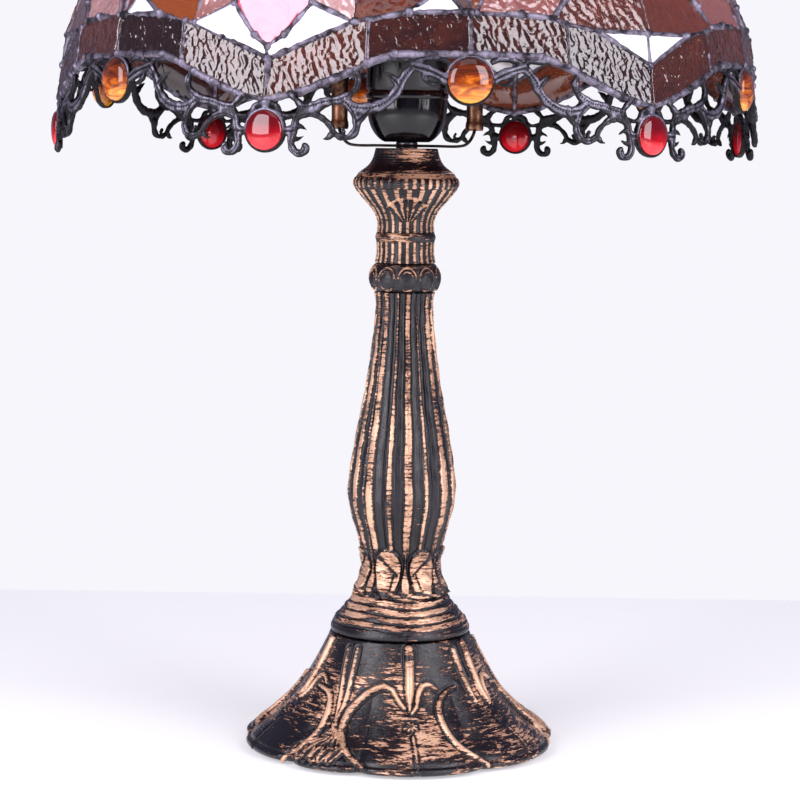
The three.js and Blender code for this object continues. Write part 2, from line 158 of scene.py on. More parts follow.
def cloud(start, point, scale, detail=3.0, distortion=0.0, rough=0.5):
    """Noise from 0 to 1 whose patches are about 1 / scale metres across."""
    values = {"Vector": point, "Scale": scale, "Detail": detail, "Distortion": distortion, "Roughness": rough}
    return start.node("TexNoise", {}, values)


def painted(start, name):
    """A number that a piece's own mesh carries at each vertex."""
    return start.node("Attribute", {"attribute_name": name}, {}, "Fac")


def ramp(start, factor, stops):
    return start.node("ValToRGB", {"stops": stops}, {"Fac": factor})


def step(start, value, low, high):
    """0 below low, 1 above high, and smooth between them."""
    settings = {"interpolation_type": "SMOOTHSTEP"}
    return start.node("MapRange", settings, {"Value": value, "From Min": low, "From Max": high})


def mix(start, factor, first, second):
    """A colour between two, each a Wire or 0-255 values."""
    first, second = [c if isinstance(c, Wire) else rgba(c) for c in (first, second)]
    a, b, result = 6, 7, 2  # the node's colour sockets; the others of these names are for numbers and vectors
    return start.node("Mix", {"data_type": "RGBA"}, {0: factor, a: first, b: second}, result)


def bump(start, height, strength, depth_mm):
    values = {"Strength": strength, "Distance": depth_mm * MM, "Height": height}
    return start.node("Bump", {}, values)

# %% [markdown]
# ## The finishes
# The stem is cast, painted black and then dry-brushed: a nearly dry brush of copper paint is dragged
# round it, so copper stays on what stands proud, in fine level streaks, and the hollows stay black. Cycles
# could guess the proud places from the mesh, but the drawing knows them exactly. So each casting carries a
# number called "raised" at every vertex, and streaky noise decides where it shows.

# %% Black casting, dry-brushed with copper
def dry_brushed(start):
    along_the_brush = place(start, (1, 1, 8))
    streaks = cloud(start, along_the_brush, 150, 5.0, 0.35, 0.66)
    worn = cloud(start, place(start), 48, 2.0)
    hairs = cloud(start, along_the_brush, 620, 2.0)
    pits = cloud(start, place(start), 900, 2.0)
    raised = painted(start, "raised")
    copper = raised + (streaks - 0.5) * 1.9 + (worn - 0.5) * 1.25 + (hairs - 0.5) * 0.6 + (pits - 0.5) * 0.3
    mask = step(start, copper, 0.4, 0.64)
    colour = ramp(start, mask, [
        (0.0, (17, 14, 21)), (0.3, (58, 34, 27)), (0.6, (170, 106, 74)), (1.0, (248, 204, 170))])
    aged = step(start, hairs * 0.5 + worn * 0.5, 0.36, 0.6)
    colour = mix(start, mask * (1 - aged) * 0.75, colour, (150, 92, 62))
    return {
        "Base Color": colour,
        "Roughness": 0.22 + mask * 0.16 + (worn - 0.5) * 0.14,
        "Metallic": mask * 0.55,
        "Normal": bump(start, mask * 0.5 + hairs * 0.6 + pits * 0.4, 0.75, 0.4),
    }


bronze = make_finish("dry_brushed_casting", {"Coat Weight": 0.12, "Coat Roughness": 0.25}, dry_brushed)
print(len(bronze.node_tree.nodes), "nodes in the dry-brushed finish")


# %% [markdown]
# Most of the small metal parts are one metal with two ages: clean where it is rubbed and dull where it
# isn't. One function makes them all, so that brass, steel and iron differ only in the values given here.

# %% Plain metals
def metal(name, dull, clean, roughness, grain=90, metallic=1.0, relief=0.08):
    def pattern(start):
        patches = cloud(start, place(start), grain, 5.0, 0.4, 0.6)
        scratches = cloud(start, place(start, (1, 1, 9)), grain * 9, 2.0)
        wear = step(start, patches * 0.8 + scratches * 0.2, 0.38, 0.62)
        return {
            "Base Color": mix(start, wear, dull, clean),
            "Roughness": roughness + (1 - wear) * 0.16 + (scratches - 0.5) * 0.12,
            "Normal": bump(start, scratches + patches * 0.5, 0.35, relief),
        }
    return make_finish(name, {"Metallic": metallic}, pattern)


brass = metal("plain_brass", (132, 92, 44), (206, 164, 92), 0.26)
steel = metal("zinc_steel", (128, 128, 134), (188, 188, 194), 0.3)
nickel = metal("nickel_shell", (150, 148, 142), (214, 212, 206), 0.2)
harp_bronze = metal("harp_bronze", (62, 44, 36), (160, 118, 92), 0.3, 140)
dark_bronze = metal("dark_bronze", (30, 26, 26), (84, 74, 70), 0.34, 140)
iron = metal("ballast_iron", (44, 42, 42), (72, 68, 66), 0.6, 160, 0.6, 0.3)
soldered = metal("lead_came", (34, 30, 36), (150, 142, 160), 0.32, 190, 0.75, 0.5)
print("metals:", [m.name for m in (brass, steel, nickel, harp_bronze, dark_bronze, iron, soldered)])


# %% [markdown]
# The filigree is cast pewter with a black patina that stays in its grooves. It is the same idea as the
# brushed copper with softer borders: its "raised" number darkens the low places and leaves the ridges grey.

# %% Pewter filigree
def patinated(start):
    patches = cloud(start, place(start), 230, 4.0)
    fine = cloud(start, place(start), 900, 3.0)
    shade = step(start, painted(start, "raised") + (patches - 0.5) * 0.9 + (fine - 0.5) * 0.5, 0.1, 0.95)
    return {
        "Base Color": ramp(start, shade, [(0.0, (15, 13, 17)), (0.55, (44, 41, 49)), (1.0, (112, 107, 122))]),
        "Roughness": 0.4 - shade * 0.1,
        "Normal": bump(start, patches + fine * 0.4, 0.7, 0.9),
    }


pewter = make_finish("pewter_filigree", {"Metallic": 0.6, "Specular IOR Level": 0.6}, patinated)
print("pewter reads", [n.attribute_name for n in pewter.node_tree.nodes if n.type == "ATTRIBUTE"])


# %% [markdown]
# Stained glass is coloured through and rolled, so its face ripples. Light from behind gives the colour
# and light from in front gives the glitter. The ripples are real geometry; the noise here adds the
# finest ones and the clouding of the melt. All sheets but the opal white and the pink pass some light.
# The wavy sheet's pale peach is amber ripple glass with the lights' pale violet reflection painted into its
# colour.

# %% Sheet glass
def sheet_glass(name, deep, bright, clear=0.45, grain=130, roughness=0.12, ripple=0.5):
    def pattern(start):
        melt = cloud(start, place(start), grain, 3.0, 1.2)
        tone = painted(start, "tone")
        ripples = cloud(start, place(start), 420, 1.5, 0.8)
        return {
            "Base Color": mix(start, step(start, melt * 0.5 + tone * 0.5, 0.28, 0.72), deep, bright),
            "Roughness": roughness + (melt - 0.5) * 0.08,
            "Normal": bump(start, ripples, ripple, 0.5),
        }
    plain = {"Transmission Weight": clear, "IOR": 1.5, "Specular IOR Level": 0.75,
             "Coat Weight": 1.0, "Coat Roughness": 0.04}
    return make_finish(name, plain, pattern)


glass = {
    "border": sheet_glass("border_glass", (52, 18, 12), (118, 54, 30), 0.7),
    "amber": sheet_glass("amber_glass", (128, 50, 22), (206, 104, 34), 0.65),
    "brown": sheet_glass("brown_glass", (84, 34, 26), (146, 70, 48), 0.6),
    # wavy: amber ripple glass whose pale peach colour is partly a painted reflection of the lights
    "wavy": sheet_glass("amber_glass_painted_reflection", (168, 100, 92), (226, 176, 172), 0.4),
    "white": sheet_glass("opal_white_glass", (238, 236, 240), (252, 251, 253), 0.0, 90, 0.1, 0.12),
    "pink": sheet_glass("pink_glass", (206, 66, 100), (230, 104, 132), 0.0, 90, 0.1, 0.12),
    "maroon": sheet_glass("maroon_glass", (74, 20, 24), (124, 40, 42), 0.45),
    "cream": sheet_glass("cream_glass", (222, 196, 160), (246, 230, 204), 0.2, 90, 0.12, 0.2),
}
print(len(glass), "kinds of sheet glass")


# %% [markdown]
# The stones are cast glass. A real one gathers light in its lower half, so each carries a number called
# "glow" that is high there, and a faint emission stands for the gathered light. The honey stones also have
# the dark bands of tiger's eye.

# %% Red and honey stones
def lit_stone(colour, melt):
    return {"Base Color": colour, "Emission Color": colour, "Roughness": 0.04 + melt * 0.05}


def ruby(start):
    melt = cloud(start, place(start), 160, 2.0, 0.6)
    glow = step(start, painted(start, "glow") + (melt - 0.5) * 0.4, 0.25, 1.0)
    return lit_stone(ramp(start, glow, [(0.0, (92, 0, 8)), (0.5, (168, 4, 20)), (1.0, (232, 40, 52))]), melt)


def honey(start):
    bands = cloud(start, place(start, (1, 1, 2.5)), 110, 3.0, 1.4)
    glow = step(start, painted(start, "glow") * 0.8 + (bands - 0.5) * 1.2, 0.0, 0.95)
    return lit_stone(ramp(start, glow, [
        (0.0, (58, 18, 4)), (0.35, (128, 50, 8)), (0.7, (196, 102, 22)), (1.0, (240, 168, 62))]), bands)


STONE = {"Coat Weight": 0.35, "Coat Roughness": 0.02, "Specular IOR Level": 0.5}
ruby_glass = make_finish("ruby_glass", {**STONE, "Emission Strength": 0.22}, ruby)
honey_glass = make_finish("honey_glass", {**STONE, "Emission Strength": 0.1}, honey)
print("stones:", ruby_glass.name, honey_glass.name)


# %% [markdown]
# What is left is not metal and not stained glass: the black phenolic of the lamp holder, its porcelain
# core, the rubber sleeve, the felt under the foot and the frosted bulb. Each has its own grain.

# %% Moulded, fired and woven parts
def body_finish(name, deep, light, roughness, grain, relief, **extra):
    def pattern(start):
        speckle = cloud(start, place(start), grain, 6.0)
        patches = cloud(start, place(start), grain * 0.15, 2.0)
        return {
            "Base Color": mix(start, speckle * 0.6 + patches * 0.4, deep, light),
            "Roughness": roughness + (patches - 0.5) * 0.15,
            "Normal": bump(start, speckle, 0.4, relief),
        }
    return make_finish(name, {key.replace("_", " "): value for key, value in extra.items()}, pattern)


phenolic = body_finish("black_phenolic", (5, 4, 6), (15, 13, 17), 0.1, 300, 0.01)
porcelain = body_finish("porcelain", (208, 202, 190), (240, 236, 226), 0.3, 200, 0.05, Coat_Weight=0.5)
rubber = body_finish("black_rubber", (16, 15, 16), (38, 36, 38), 0.65, 900, 0.06)
felt = body_finish("felt", (18, 17, 19), (56, 52, 58), 0.95, 1500, 0.5, Sheen_Weight=0.6)
frosted = body_finish("opal_bulb_glass", (236, 230, 218), (252, 248, 240), 0.35, 400, 0.03,
                      Transmission_Weight=0.5)
print(len(bpy.data.materials), "finishes in all, with those of the CAD model")

# %% [markdown]
# ## Making meshes
# Every piece below is a net of points that faces are stretched over. `new_piece` turns such a net into an
# object, gives it its finish, ties it to the part of the lamp that it moves with and hides the plain CAD
# solid that it stands for.

# %% From a net of points to a piece of the lamp
def new_piece(name, points_mm, faces, finish, body, nodes, marks=None):
    """marks are numbers that the mesh carries at each vertex, for the finish to read."""
    mesh = bpy.data.meshes.new(name)
    mesh.from_pydata((np.asarray(points_mm) * MM).tolist(), [], [list(f) for f in faces])
    for mark, values in (marks or {}).items():
        layer = mesh.attributes.new(mark, "FLOAT", "POINT")
        layer.data.foreach_set("value", np.asarray(values, np.float32).ravel())
    mesh.polygons.foreach_set("use_smooth", [True] * len(mesh.polygons))
    mesh.materials.append(finish)
    mesh.update()
    piece = bpy.data.objects.new(name, mesh)
    bpy.context.scene.collection.objects.link(piece)
    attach(piece, body)
    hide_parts(*nodes)
    return piece


def net_faces(rows, columns, loop_rows=False):
    """Quads over a net whose columns run all the way round, and whose rows may too."""
    r = np.arange(rows if loop_rows else rows - 1)[:, None]
    c = np.arange(columns)[None, :]
    below, above = r * columns, (r + 1) % rows * columns
    beside = (c + 1) % columns
    quads = np.stack([below + c, below + beside, above + beside, above + c], axis=-1)
    return quads.reshape(-1, 4).tolist()


def tube_faces(rows, columns):
    """A net that runs round and is closed by one face at each end."""
    last = (rows - 1) * columns
    return net_faces(rows, columns) + [tuple(range(columns))[::-1], tuple(range(last, last + columns))]


def gather(parts):
    """Several (points, faces) as one."""
    points, faces, base = [], [], 0
    for p, f in parts:
        points.append(p)
        faces.extend(tuple(i + base for i in face) for face in f)
        base += len(p)
    return np.vstack(points), faces


# %% [markdown]
# The drawings below have few points, because few are easy to place. A smooth curve through them gives
# as many as a mesh needs. Angles are measured from the front towards +X, so 0 is the side that is seen first.

# %% Curves, directions and angles
UP = np.array([0, 0, 1.0])
STEPS_PER_SPAN = 24


def even_curve(points, count):
    """Points evenly spaced on a smooth curve through a few, in any number of dimensions."""
    p = np.asarray(points, float)
    p = np.vstack([2 * p[0] - p[1], p, 2 * p[-1] - p[-2]])
    t = np.linspace(0, 1, STEPS_PER_SPAN)[:, None]
    spans = []
    for a, b, c, d in zip(p, p[1:], p[2:], p[3:]):
        spans.append(0.5 * (2 * b + (c - a) * t + (2 * a - 5 * b + 4 * c - d) * t**2
                            + (3 * b - a - 3 * c + d) * t**3))
    fine = np.vstack(spans)
    run = run_along(fine)
    return np.stack([np.interp(np.linspace(0, run[-1], count), run, f) for f in fine.T], axis=1)


def run_along(points):
    """How far each point is along the line through them all."""
    return np.r_[0, np.cumsum(np.linalg.norm(np.diff(points, axis=0), axis=1))]


def unit(vectors):
    return vectors / np.linalg.norm(vectors, axis=-1, keepdims=True)


def full_turn(count):
    return np.linspace(0, 2 * np.pi, count, endpoint=False)


def wrapped(degrees):
    """The same angle, from -180 to 180."""
    return (degrees + 180) % 360 - 180


def around(radius, degrees, z):
    """A point at an angle measured from the front towards +X."""
    a = np.radians(degrees)
    return np.stack(np.broadcast_arrays(radius * np.sin(a), -radius * np.cos(a), z), axis=-1)


# %% [markdown]
# Wires, strips, came and scrolls are all an outline carried along a line. Blender's curve objects could do
# it, but here the outline's size and direction change from point to point, so plain arithmetic is shorter.

# %% Carrying an outline along a line
def oval(count, wide, deep):
    turn = full_turn(count)
    return np.stack([wide * np.cos(turn), deep * np.sin(turn)], axis=1)


def sweep(line, side, out, section):
    """A closed outline of (sideways, outward) points, or one for each point of the line, carried along it."""
    points = line[:, None, :] + section[..., :1] * side[:, None, :] + section[..., 1:] * out[:, None, :]
    return points.reshape(-1, 3), tube_faces(len(line), section.shape[-2])


print("a wire of 3 rings and 8 sides has", len(tube_faces(3, 8)), "faces")

# %% [markdown]
# ### Turned and cast parts
# A turned part is a profile spun about the axis. A cast one starts the same way, and then each point moves
# out or in along the surface's own normal by a height that the relief gives. The relief also gives the
# "raised" number, from the same drawing, so paint and shape agree.

# %% Lathe with relief
def relief_lathe(name, outside, inside, columns, rows, relief, nodes, body="stand", shape=None):
    """outside and inside are (radius, height) pairs from the bottom up. relief(degrees, run, height, radius)
    gives how far the outside stands out, in mm, and how much copper it takes."""
    profile = even_curve(outside, rows)
    slope = np.gradient(profile, axis=0)
    normal = unit(np.stack([slope[:, 1], -slope[:, 0]], axis=1))
    degrees = np.linspace(-180, 180, columns, endpoint=False)
    grid_deg, grid_run = np.meshgrid(degrees, run_along(profile))
    radius = np.repeat(profile[:, :1], columns, axis=1)
    height = np.repeat(profile[:, 1:], columns, axis=1)
    out, raised = relief(grid_deg, grid_run, height, radius)
    inner = np.asarray(inside, float)[::-1]
    radius = np.vstack([radius + out * normal[:, :1], np.repeat(inner[:, :1], columns, axis=1)])
    height = np.vstack([height + out * normal[:, 1:], np.repeat(inner[:, 1:], columns, axis=1)])
    grid_deg = np.vstack([grid_deg, np.repeat(degrees[None, :], len(inner), axis=0)])
    raised = np.vstack([np.clip(raised, 0, 1), np.zeros((len(inner), columns))])
    if shape is not None:
        radius = radius * shape(grid_deg, height)
    points = around(radius, grid_deg, height).reshape(-1, 3)
    faces = net_faces(rows + len(inner), columns, loop_rows=True)
    new_piece(name, points, faces, bronze, body, nodes, {"raised": raised})
    print(name, len(faces), "faces")


# %% [markdown]
# Small turned parts have no relief. They need a bevel at each corner instead, because a real turned edge is
# never quite sharp and catches a line of light.

# %% Plain turning
SHARP_ABOVE = math.radians(50)


def turned_points(loop, columns):
    """Points and faces of a ring turned from a closed outline of (radius, height) points."""
    loop = np.asarray(loop, float)
    degrees = np.linspace(-180, 180, columns, endpoint=False)
    points = around(loop[:, :1], degrees[None, :], loop[:, 1:]).reshape(-1, 3)
    return points, net_faces(len(loop), columns, loop_rows=True)


def rounded(profile, size=0.35):
    """The same profile with each inner corner cut by a small bevel."""
    p = np.asarray(profile, float)
    made = [p[0]]
    for a, b, c in zip(p, p[1:], p[2:]):
        for end in (a, c):
            reach = np.linalg.norm(end - b)
            made.append(b + (end - b) * min(size / max(reach, 1e-6), 0.4))
    made.append(p[-1])
    return np.asarray(made)


def turned(name, outside, inside, finish, node, body="stand", columns=72, smooth_rows=0, shift=0):
    """A plain turned part with bevelled corners. With smooth_rows, its profile is a curve of so many rows."""
    profile = even_curve(outside, smooth_rows) if smooth_rows else rounded(outside)
    points, faces = turned_points(np.vstack([profile, inside[::-1]]), columns)
    piece = new_piece(name, points + [shift, 0, 0], faces, finish, body, [node])
    piece.data.set_sharp_from_angle(angle=SHARP_ABOVE)


# %% [markdown]
# ### Drawing relief
# The relief on the castings is drawn as strokes, the way a pattern maker lays strips of wax on a core: each
# stroke is a few points of (angle, run up the surface), a width and a height. A grid point's height comes
# from how far it is from the nearest stroke. Rings, beads and edges are softer shapes, made from two curves:
# `softly` climbs from 0 to 1, and `bell` is 1 in one place and falls away on both sides.

# %% Wax strips and soft edges
def away_from(stroke, degrees, run, radius):
    """Distance in mm to a stroke of (angle, run) points, and how far along it the nearest place is."""
    best = np.full(degrees.shape, 1e9)
    along = np.zeros(degrees.shape)
    count = len(stroke) - 1
    for i in range(count):
        (a0, s0), (a1, s1) = stroke[i], stroke[i + 1]
        px, py = np.radians(wrapped(degrees - a0)) * radius, run - s0
        qx, qy = np.radians(a1 - a0) * radius, s1 - s0
        t = np.clip((px * qx + py * qy) / np.maximum(qx * qx + qy * qy, 1e-9), 0, 1)
        d = np.hypot(px - t * qx, py - t * qy)
        closer = d < best
        best = np.where(closer, d, best)
        along = np.where(closer, (i + t) / count, along)
    return best, along


def softly(value, low, high):
    t = np.clip((value - low) / (high - low), 0, 1)
    return t * t * (3 - 2 * t)


def bell(value, width):
    return np.exp(-((value / width) ** 2))


def span(value, low, high, edge):
    """1 between low and high, with a soft edge inside each end."""
    return softly(value, low, low + edge) * (1 - softly(value, high - edge, high))


def nearest_of(count, first, degrees, radius):
    """How many mm to the middle of the nearest of some evenly spaced features, and that feature's number."""
    turn = (degrees - first) / 360 * count
    number = np.round(turn)
    return np.radians((turn - number) * 360 / count) * radius, number


# %% [markdown]
# ## The stem
# The foot is the busiest casting. Its rim swells in nine lobes. Five wide ones hold a bulging field with a C
# scroll on its left, a spear coming down from the shoulder and a rosette. Three narrow ones hold a fan of
# looped leaves, and the ninth has only a scroll and a blade. Every ridge has a thin channel beside it. The
# dry brush can't reach into it, so the ridge reads sharply. A sculpted mesh or a painted height map could
# hold all this, but a drawing in numbers stays easy to correct.

# %% The drawing of the foot
LOBE_EDGES = [-88, -44, -15.5, 33, 86, 118, 156, 204, 240, 272]
FAN_LOBES = [(-44, -15.5), (86, 118), (204, 240)]
WIDE_LOBES = [(-15.5, 33), (33, 86), (156, 204), (118, 156), (-88, -44)]
LOBE_DEPTH = 0.06

# The points of a stroke are (degrees from the lobe's edge or middle, mm up the slope from the rim).
BIG_C = [(18.7, 35.4), (15.8, 38.2), (12.6, 43), (8.5, 45.6), (3.9, 45.3), (-1.8, 43.1), (-7.5, 38.9),
         (-11.9, 33.2), (-12.8, 27.7), (-11.7, 22), (-8.9, 16.7), (-5.1, 11), (-1.6, 6.3), (2.2, 3.4)]
SLIM_C = [(3.6, 44.1), (-2.3, 43.1), (-7.7, 40.2), (-10.9, 35.5), (-11.2, 30.7), (-10.5, 25.6),
          (-8.9, 20.1), (-6.8, 14.5), (-3.7, 10), (0.7, 5.4), (2.4, 3.2)]
MIRRORED_C = [(-12.4, 41.5), (-2.8, 39.9), (2.3, 33.7), (4.6, 25), (3.9, 15.9), (-0.4, 5.8), (-4, 2)]
HEART = [(1, 33), (4, 36.5), (6, 42.5), (9.5, 46), (14, 46), (18, 43.5)]
SPEAR = [(1.4, 62), (1.0, 50), (0.4, 42), (0, 34)]


def shifted(stroke, degrees):
    return [(degrees + a, s) for a, s in stroke]


def leaf_loop(degrees, run, wide, tall, lean):
    """A closed oval outline that leans over by lean degrees from its foot to its tip."""
    turn = np.linspace(0, 2 * np.pi, 13)
    return [(degrees + wide * math.cos(t) + lean * math.sin(t), run + tall * math.sin(t)) for t in turn]


def wide_lobe(middle):
    """A spear, half a heart, the stem under a rosette, and the rosette's eight short petals."""
    yield shifted(SPEAR, middle), 1.9, 1.7, (1.1, 0.12)
    yield shifted(HEART, middle), 1.1, 1.1, (0.5, 0.4)
    yield [(middle + 0.6, 21), (middle + 1, 12), (middle + 1.2, 2.4)], 0.55, 0.4, (0.8, 1)
    for k in range(8):
        a, reach = k * math.tau / 8 + 0.3, DICE.uniform(2.0, 3.4)
        root = (middle + 1.2 * math.cos(a), 26 + math.sin(a))
        tip = (middle + 1.25 * reach * math.cos(a), 26 + reach * math.sin(a))
        yield [root, tip], 0.5, 0.5, (1, 0.5)


def fan_lobe(root):
    """Six looped leaves on stalks that gather in one root, under two long blades."""
    for k in range(6):
        out = k - 2.5
        at = root - 3.2 + 3.8 * out
        yield leaf_loop(at, 8.4 + 0.25 * out, 1.5, 4.4, 1.0 + 0.35 * out), 0.6, 0.9, (1, 1)
        yield [(at - 0.3 * out, 13), (root + 1.7 * out, 18), (root + 0.5 * out, 23.5)], 0.6, 0.8, (1, 0.6)
    for side in (-1, 1):
        blade = [(root - 7 + 4.4 * side, 61), (root - 5 + 3.2 * side, 50),
                 (root - 3 + 2.2 * side, 40), (root - 1.4 + 0.4 * side, 28)]
        yield blade, 0.85, 1.1, (0.9, 0.5)
    yield [(root - 1.2, 27), (root - 0.8, 24)], 1.5, 1.1, (0.9, 0.7)


def foot_strips():
    """(stroke, half width, height, how wide each end is) of every wax strip on the foot."""
    strips = [(shifted(BIG_C, edge), 1.5, 1.5, (0.4, 0.7)) for edge in (-15.5, 156)]
    strips += [(shifted(SLIM_C, edge), 1.35, 1.35, (0.4, 0.6)) for edge in (33, 118, 240, -88)]
    strips += [(shifted(MIRRORED_C, edge), 1.35, 1.35, (0.4, 0.6)) for edge in (-44, 86, 204)]
    for low, high in WIDE_LOBES:
        strips += wide_lobe((low + high) / 2 - 3)
    for low, high in FAN_LOBES:
        strips += fan_lobe((low + high) / 2 - 1.5)
    for middle in (53, 141, 256, -62, 176):
        strips.append(([(middle - 8, 60), (middle - 7, 46.5), (middle - 5, 35)], 1.3, 1.2, (1, 0.2)))
    return strips


print(len(LOBE_EDGES) - 1, "lobes on the foot")

# %% [markdown]
# The foot's height at each grid point is the tallest strip there, less the channels beside the strips, plus
# the soft bulge of the fields. "raised" follows the same drawing, so the copper lands where a brush would.

# %% The foot
ROD_HOLE = 5.2  # radius of the hole for the rod, the same in every casting of the stem


def lobe_shape(degrees, height):
    """How far the rim draws in where two lobes meet, as a factor on the radius."""
    first = LOBE_EDGES[0]
    turned_to = (degrees - first) % 360 + first
    pull = np.zeros_like(turned_to)
    for a, b in zip(LOBE_EDGES, LOBE_EDGES[1:]):
        t = (turned_to - a) / (b - a)
        pull = np.where((t >= 0) & (t < 1), np.abs(2 * t - 1) ** 4, pull)
    return 1 - LOBE_DEPTH * np.clip((34 - height) / 30, 0, 1) * pull


def foot_relief(degrees, run, height, radius):
    ridge = np.zeros_like(degrees)
    channel = np.zeros_like(degrees)
    for stroke, width, rise, ends in foot_strips():
        path = even_curve(stroke, 14) if len(stroke) > 2 else stroke
        d, t = away_from(path, degrees, run, radius)
        w = width * np.interp(t, [0, 0.35, 0.7, 1], [ends[0], 1, 1, ends[1]])
        ridge = np.maximum(ridge, rise * np.clip(1 - (d / w) ** 2, 0, None) ** 0.6)
        channel = np.maximum(channel, bell(d - w - 0.55, 0.5))
    channel = channel * (1 - softly(ridge, 0.05, 0.4))
    field = np.zeros_like(degrees)
    for low, high in WIDE_LOBES:
        across = np.radians(wrapped(degrees - (low + high) / 2 + 2)) * radius
        field = np.maximum(field, bell(across, 13) * bell(run - 21, 13))
    rim_lip = 0.9 * bell(run - 2.2, 1.5)
    under_lip = -0.7 * bell(run - 5.0, 0.8)
    hand_cut = 0.07 * np.sin(degrees * 0.33 + run * 0.11) * np.sin(run * 0.42 - degrees * 0.05)
    raised = 0.3 + 0.1 * field + 0.4 * softly(ridge, 0.15, 0.8)
    raised = raised + 0.08 * softly(rim_lip, 0.3, 0.8) + 0.07 * softly(run, 33, 40)
    raised = raised * (1 - 0.9 * channel) - 0.12 * softly(run, 54, 58) - 0.1 * (1 - softly(run, 5, 9))
    return ridge + 1.5 * field - 0.55 * channel + rim_lip + under_lip + hand_cut, raised


relief_lathe(
    "foot_with_scrolls",
    [(66.5, 1.2), (68.3, 2.6), (68.0, 4.6), (63.0, 8.8), (54.8, 14.4), (45.0, 24.6), (37.9, 36.4), (33.0, 46),
     (31.0, 50.4)],
    [(64.2, 1.2), (63.4, 5), (51, 15.5), (41.5, 25.5), (30, 43.8), (ROD_HOLE, 43.8), (ROD_HOLE, 46.9)],
    720, 120, foot_relief, ["foot_casting"], shape=lobe_shape)

# %% [markdown]
# Above the foot, a stepped shoulder gathers the shape in. Its rings were cut by hand in the pattern, so they
# wander and break off, and they sag towards a seam at the front, where the two halves of the mould met.

# %% The shoulder
SEAM_AT = 6.0


def shoulder_relief(degrees, run, height, radius):
    from_seam = wrapped(degrees - SEAM_AT)
    seam = bell(from_seam, 2.2)
    sag = bell(from_seam, 24) + 0.5 * np.sin(np.radians(degrees * 3))
    level = (run + sag - 2) / 3.9
    rings = np.abs(np.sin(np.pi * level)) ** 0.6
    wander = 0.5 + 0.5 * np.sin(np.radians(degrees * 5) + level * 2.1)
    folds = 0.35 * softly(np.sin(np.pi * (level * 2 + wander)), 0.2, 0.9)
    bare = softly(np.sin(np.radians(degrees * 2.0 + 28 * level + 200)), 0.25, 0.8)
    cove = softly(run, 4.2, 6.5)
    out = (0.75 * rings + folds) * cove + 0.25 * (1 - cove)
    out = out * (1 - 0.5 * seam) + 0.35 * seam * np.sin(run * 2.4)
    raised = 0.16 + 0.5 * softly(rings, 0.4, 0.9) * cove + 0.12 * folds - 0.26 * bare
    return out - 0.3, raised + 0.1 * (1 - cove)


relief_lathe(
    "stepped_shoulder",
    [(29.4, 50.7), (30.8, 51.4), (31.0, 52.9), (30.2, 54.6), (28.2, 57.2), (25.8, 60), (23.5, 62.8),
     (21.4, 65.6), (20.6, 67.4)],
    [(28.6, 50.7), (17.5, 63.7), (ROD_HOLE, 63.7), (ROD_HOLE, 67.4)],
    480, 90, shoulder_relief, ["foot_shoulder"])

# %% [markdown]
# The column has sixteen flat-topped ribs with dark hollows. The ribs run down into a ring of broad leaves
# with a deep slanting slot in each, and a slim bud stands between the leaves. Ribs and leaves repeat round
# the axis, so they come from the distance to the nearest one and not from strokes.

# %% The column
RIBS, RIB_AT = 16, 7.0
LEAVES, LEAF_AT = 7, 32.0
LEAF_TIP = 89.6


def rib_phase(degrees, count, first):
    """0 on the middle of a rib and 1 half way to the next."""
    phase = (degrees - first) / 360 * count
    return np.abs(phase - np.round(phase)) * 2


def leaf_ring(degrees, height, radius):
    """How far each point is inside a leaf, its border, its slot and its bud, from 0 to 1."""
    u, number = nearest_of(LEAVES, LEAF_AT, degrees, radius)
    side = np.where(number % 2 == 0, 1.0, -1.0)
    leaf_half = np.interp(height, [66.8, 69, 72, 77, 83, 86.5, 88.8, LEAF_TIP],
                          [1.0, 3.0, 4.6, 5.7, 6.0, 4.9, 2.6, 0])
    inside = leaf_half - np.abs(u)
    leaf = softly(inside, 0, 0.7) * (height < LEAF_TIP)
    border = softly(inside, -1.5, -0.7) * (1 - leaf)
    px, py = u * side - 3.4, height - 86
    qx, qy = -7.4, -8.2
    t = np.clip((px * qx + py * qy) / (qx * qx + qy * qy), 0, 1)
    slot = bell(np.hypot(px - t * qx, py - t * qy), 0.75 - 0.35 * t)
    crease = bell(u * side + 2.0 + 0.18 * (height - 74), 0.4) * softly(height, 69, 73) * (height < 78.5)
    v, _ = nearest_of(LEAVES, LEAF_AT + 180 / LEAVES, degrees, radius)
    bud_half = np.interp(height, [68.5, 70.5, 74, 78, 82, 90], [0.6, 1.7, 1.9, 1.2, 0.6, 0.4])
    bud = softly(bud_half - np.abs(v), 0, 0.5) * (height > 68.5)
    return leaf, border, np.clip(slot + 0.8 * crease, 0, 1), bud


def column_relief(degrees, run, height, radius):
    body = softly(height, 84, 91)
    off = rib_phase(degrees + 0.5 * np.sin(height * 0.21 + degrees * 0.03), RIBS, RIB_AT)
    rib = 1 - softly(off, 0.3, 0.46)
    edge_line = bell(off - 0.66, 0.07)
    ticks = 0.5 + 0.5 * np.sin(height * 2.6 + 4 * np.sin(degrees * 0.37))
    fluting = 0.95 * rib * (1 - 0.12 * ticks) - 0.55 - 0.35 * bell(off - 0.5, 0.07) + 0.22 * edge_line
    out = body * (fluting + 0.14 * np.sin(height * 0.5 + degrees * 0.13))
    raised = body * (0.7 * rib - 0.12 * ticks * rib + 0.02 + 0.3 * edge_line * softly(height, 150, 175))
    leaf, border, slot, bud = leaf_ring(degrees, height, radius)
    low = 1 - softly(height, 69, 72.5)
    scales = np.abs(np.sin(np.pi * (height - 67) / 2.7 + np.radians(degrees * 7))) ** 0.8
    leaf_out = 1.5 + 0.25 * np.sin(height * 0.9 + degrees * 0.2) - 1.4 * slot
    out = out * (1 - leaf) + leaf * leaf_out - 0.5 * border + 1.3 * bud + 0.5 * low * scales
    raised = np.maximum(raised * (1 - leaf), leaf * (0.66 - 0.66 * slot)) * (1 - border)
    raised = np.maximum(raised, 0.6 * bud) * (1 - low) + low * (0.1 + 0.4 * softly(scales, 0.5, 0.9))
    return out, raised


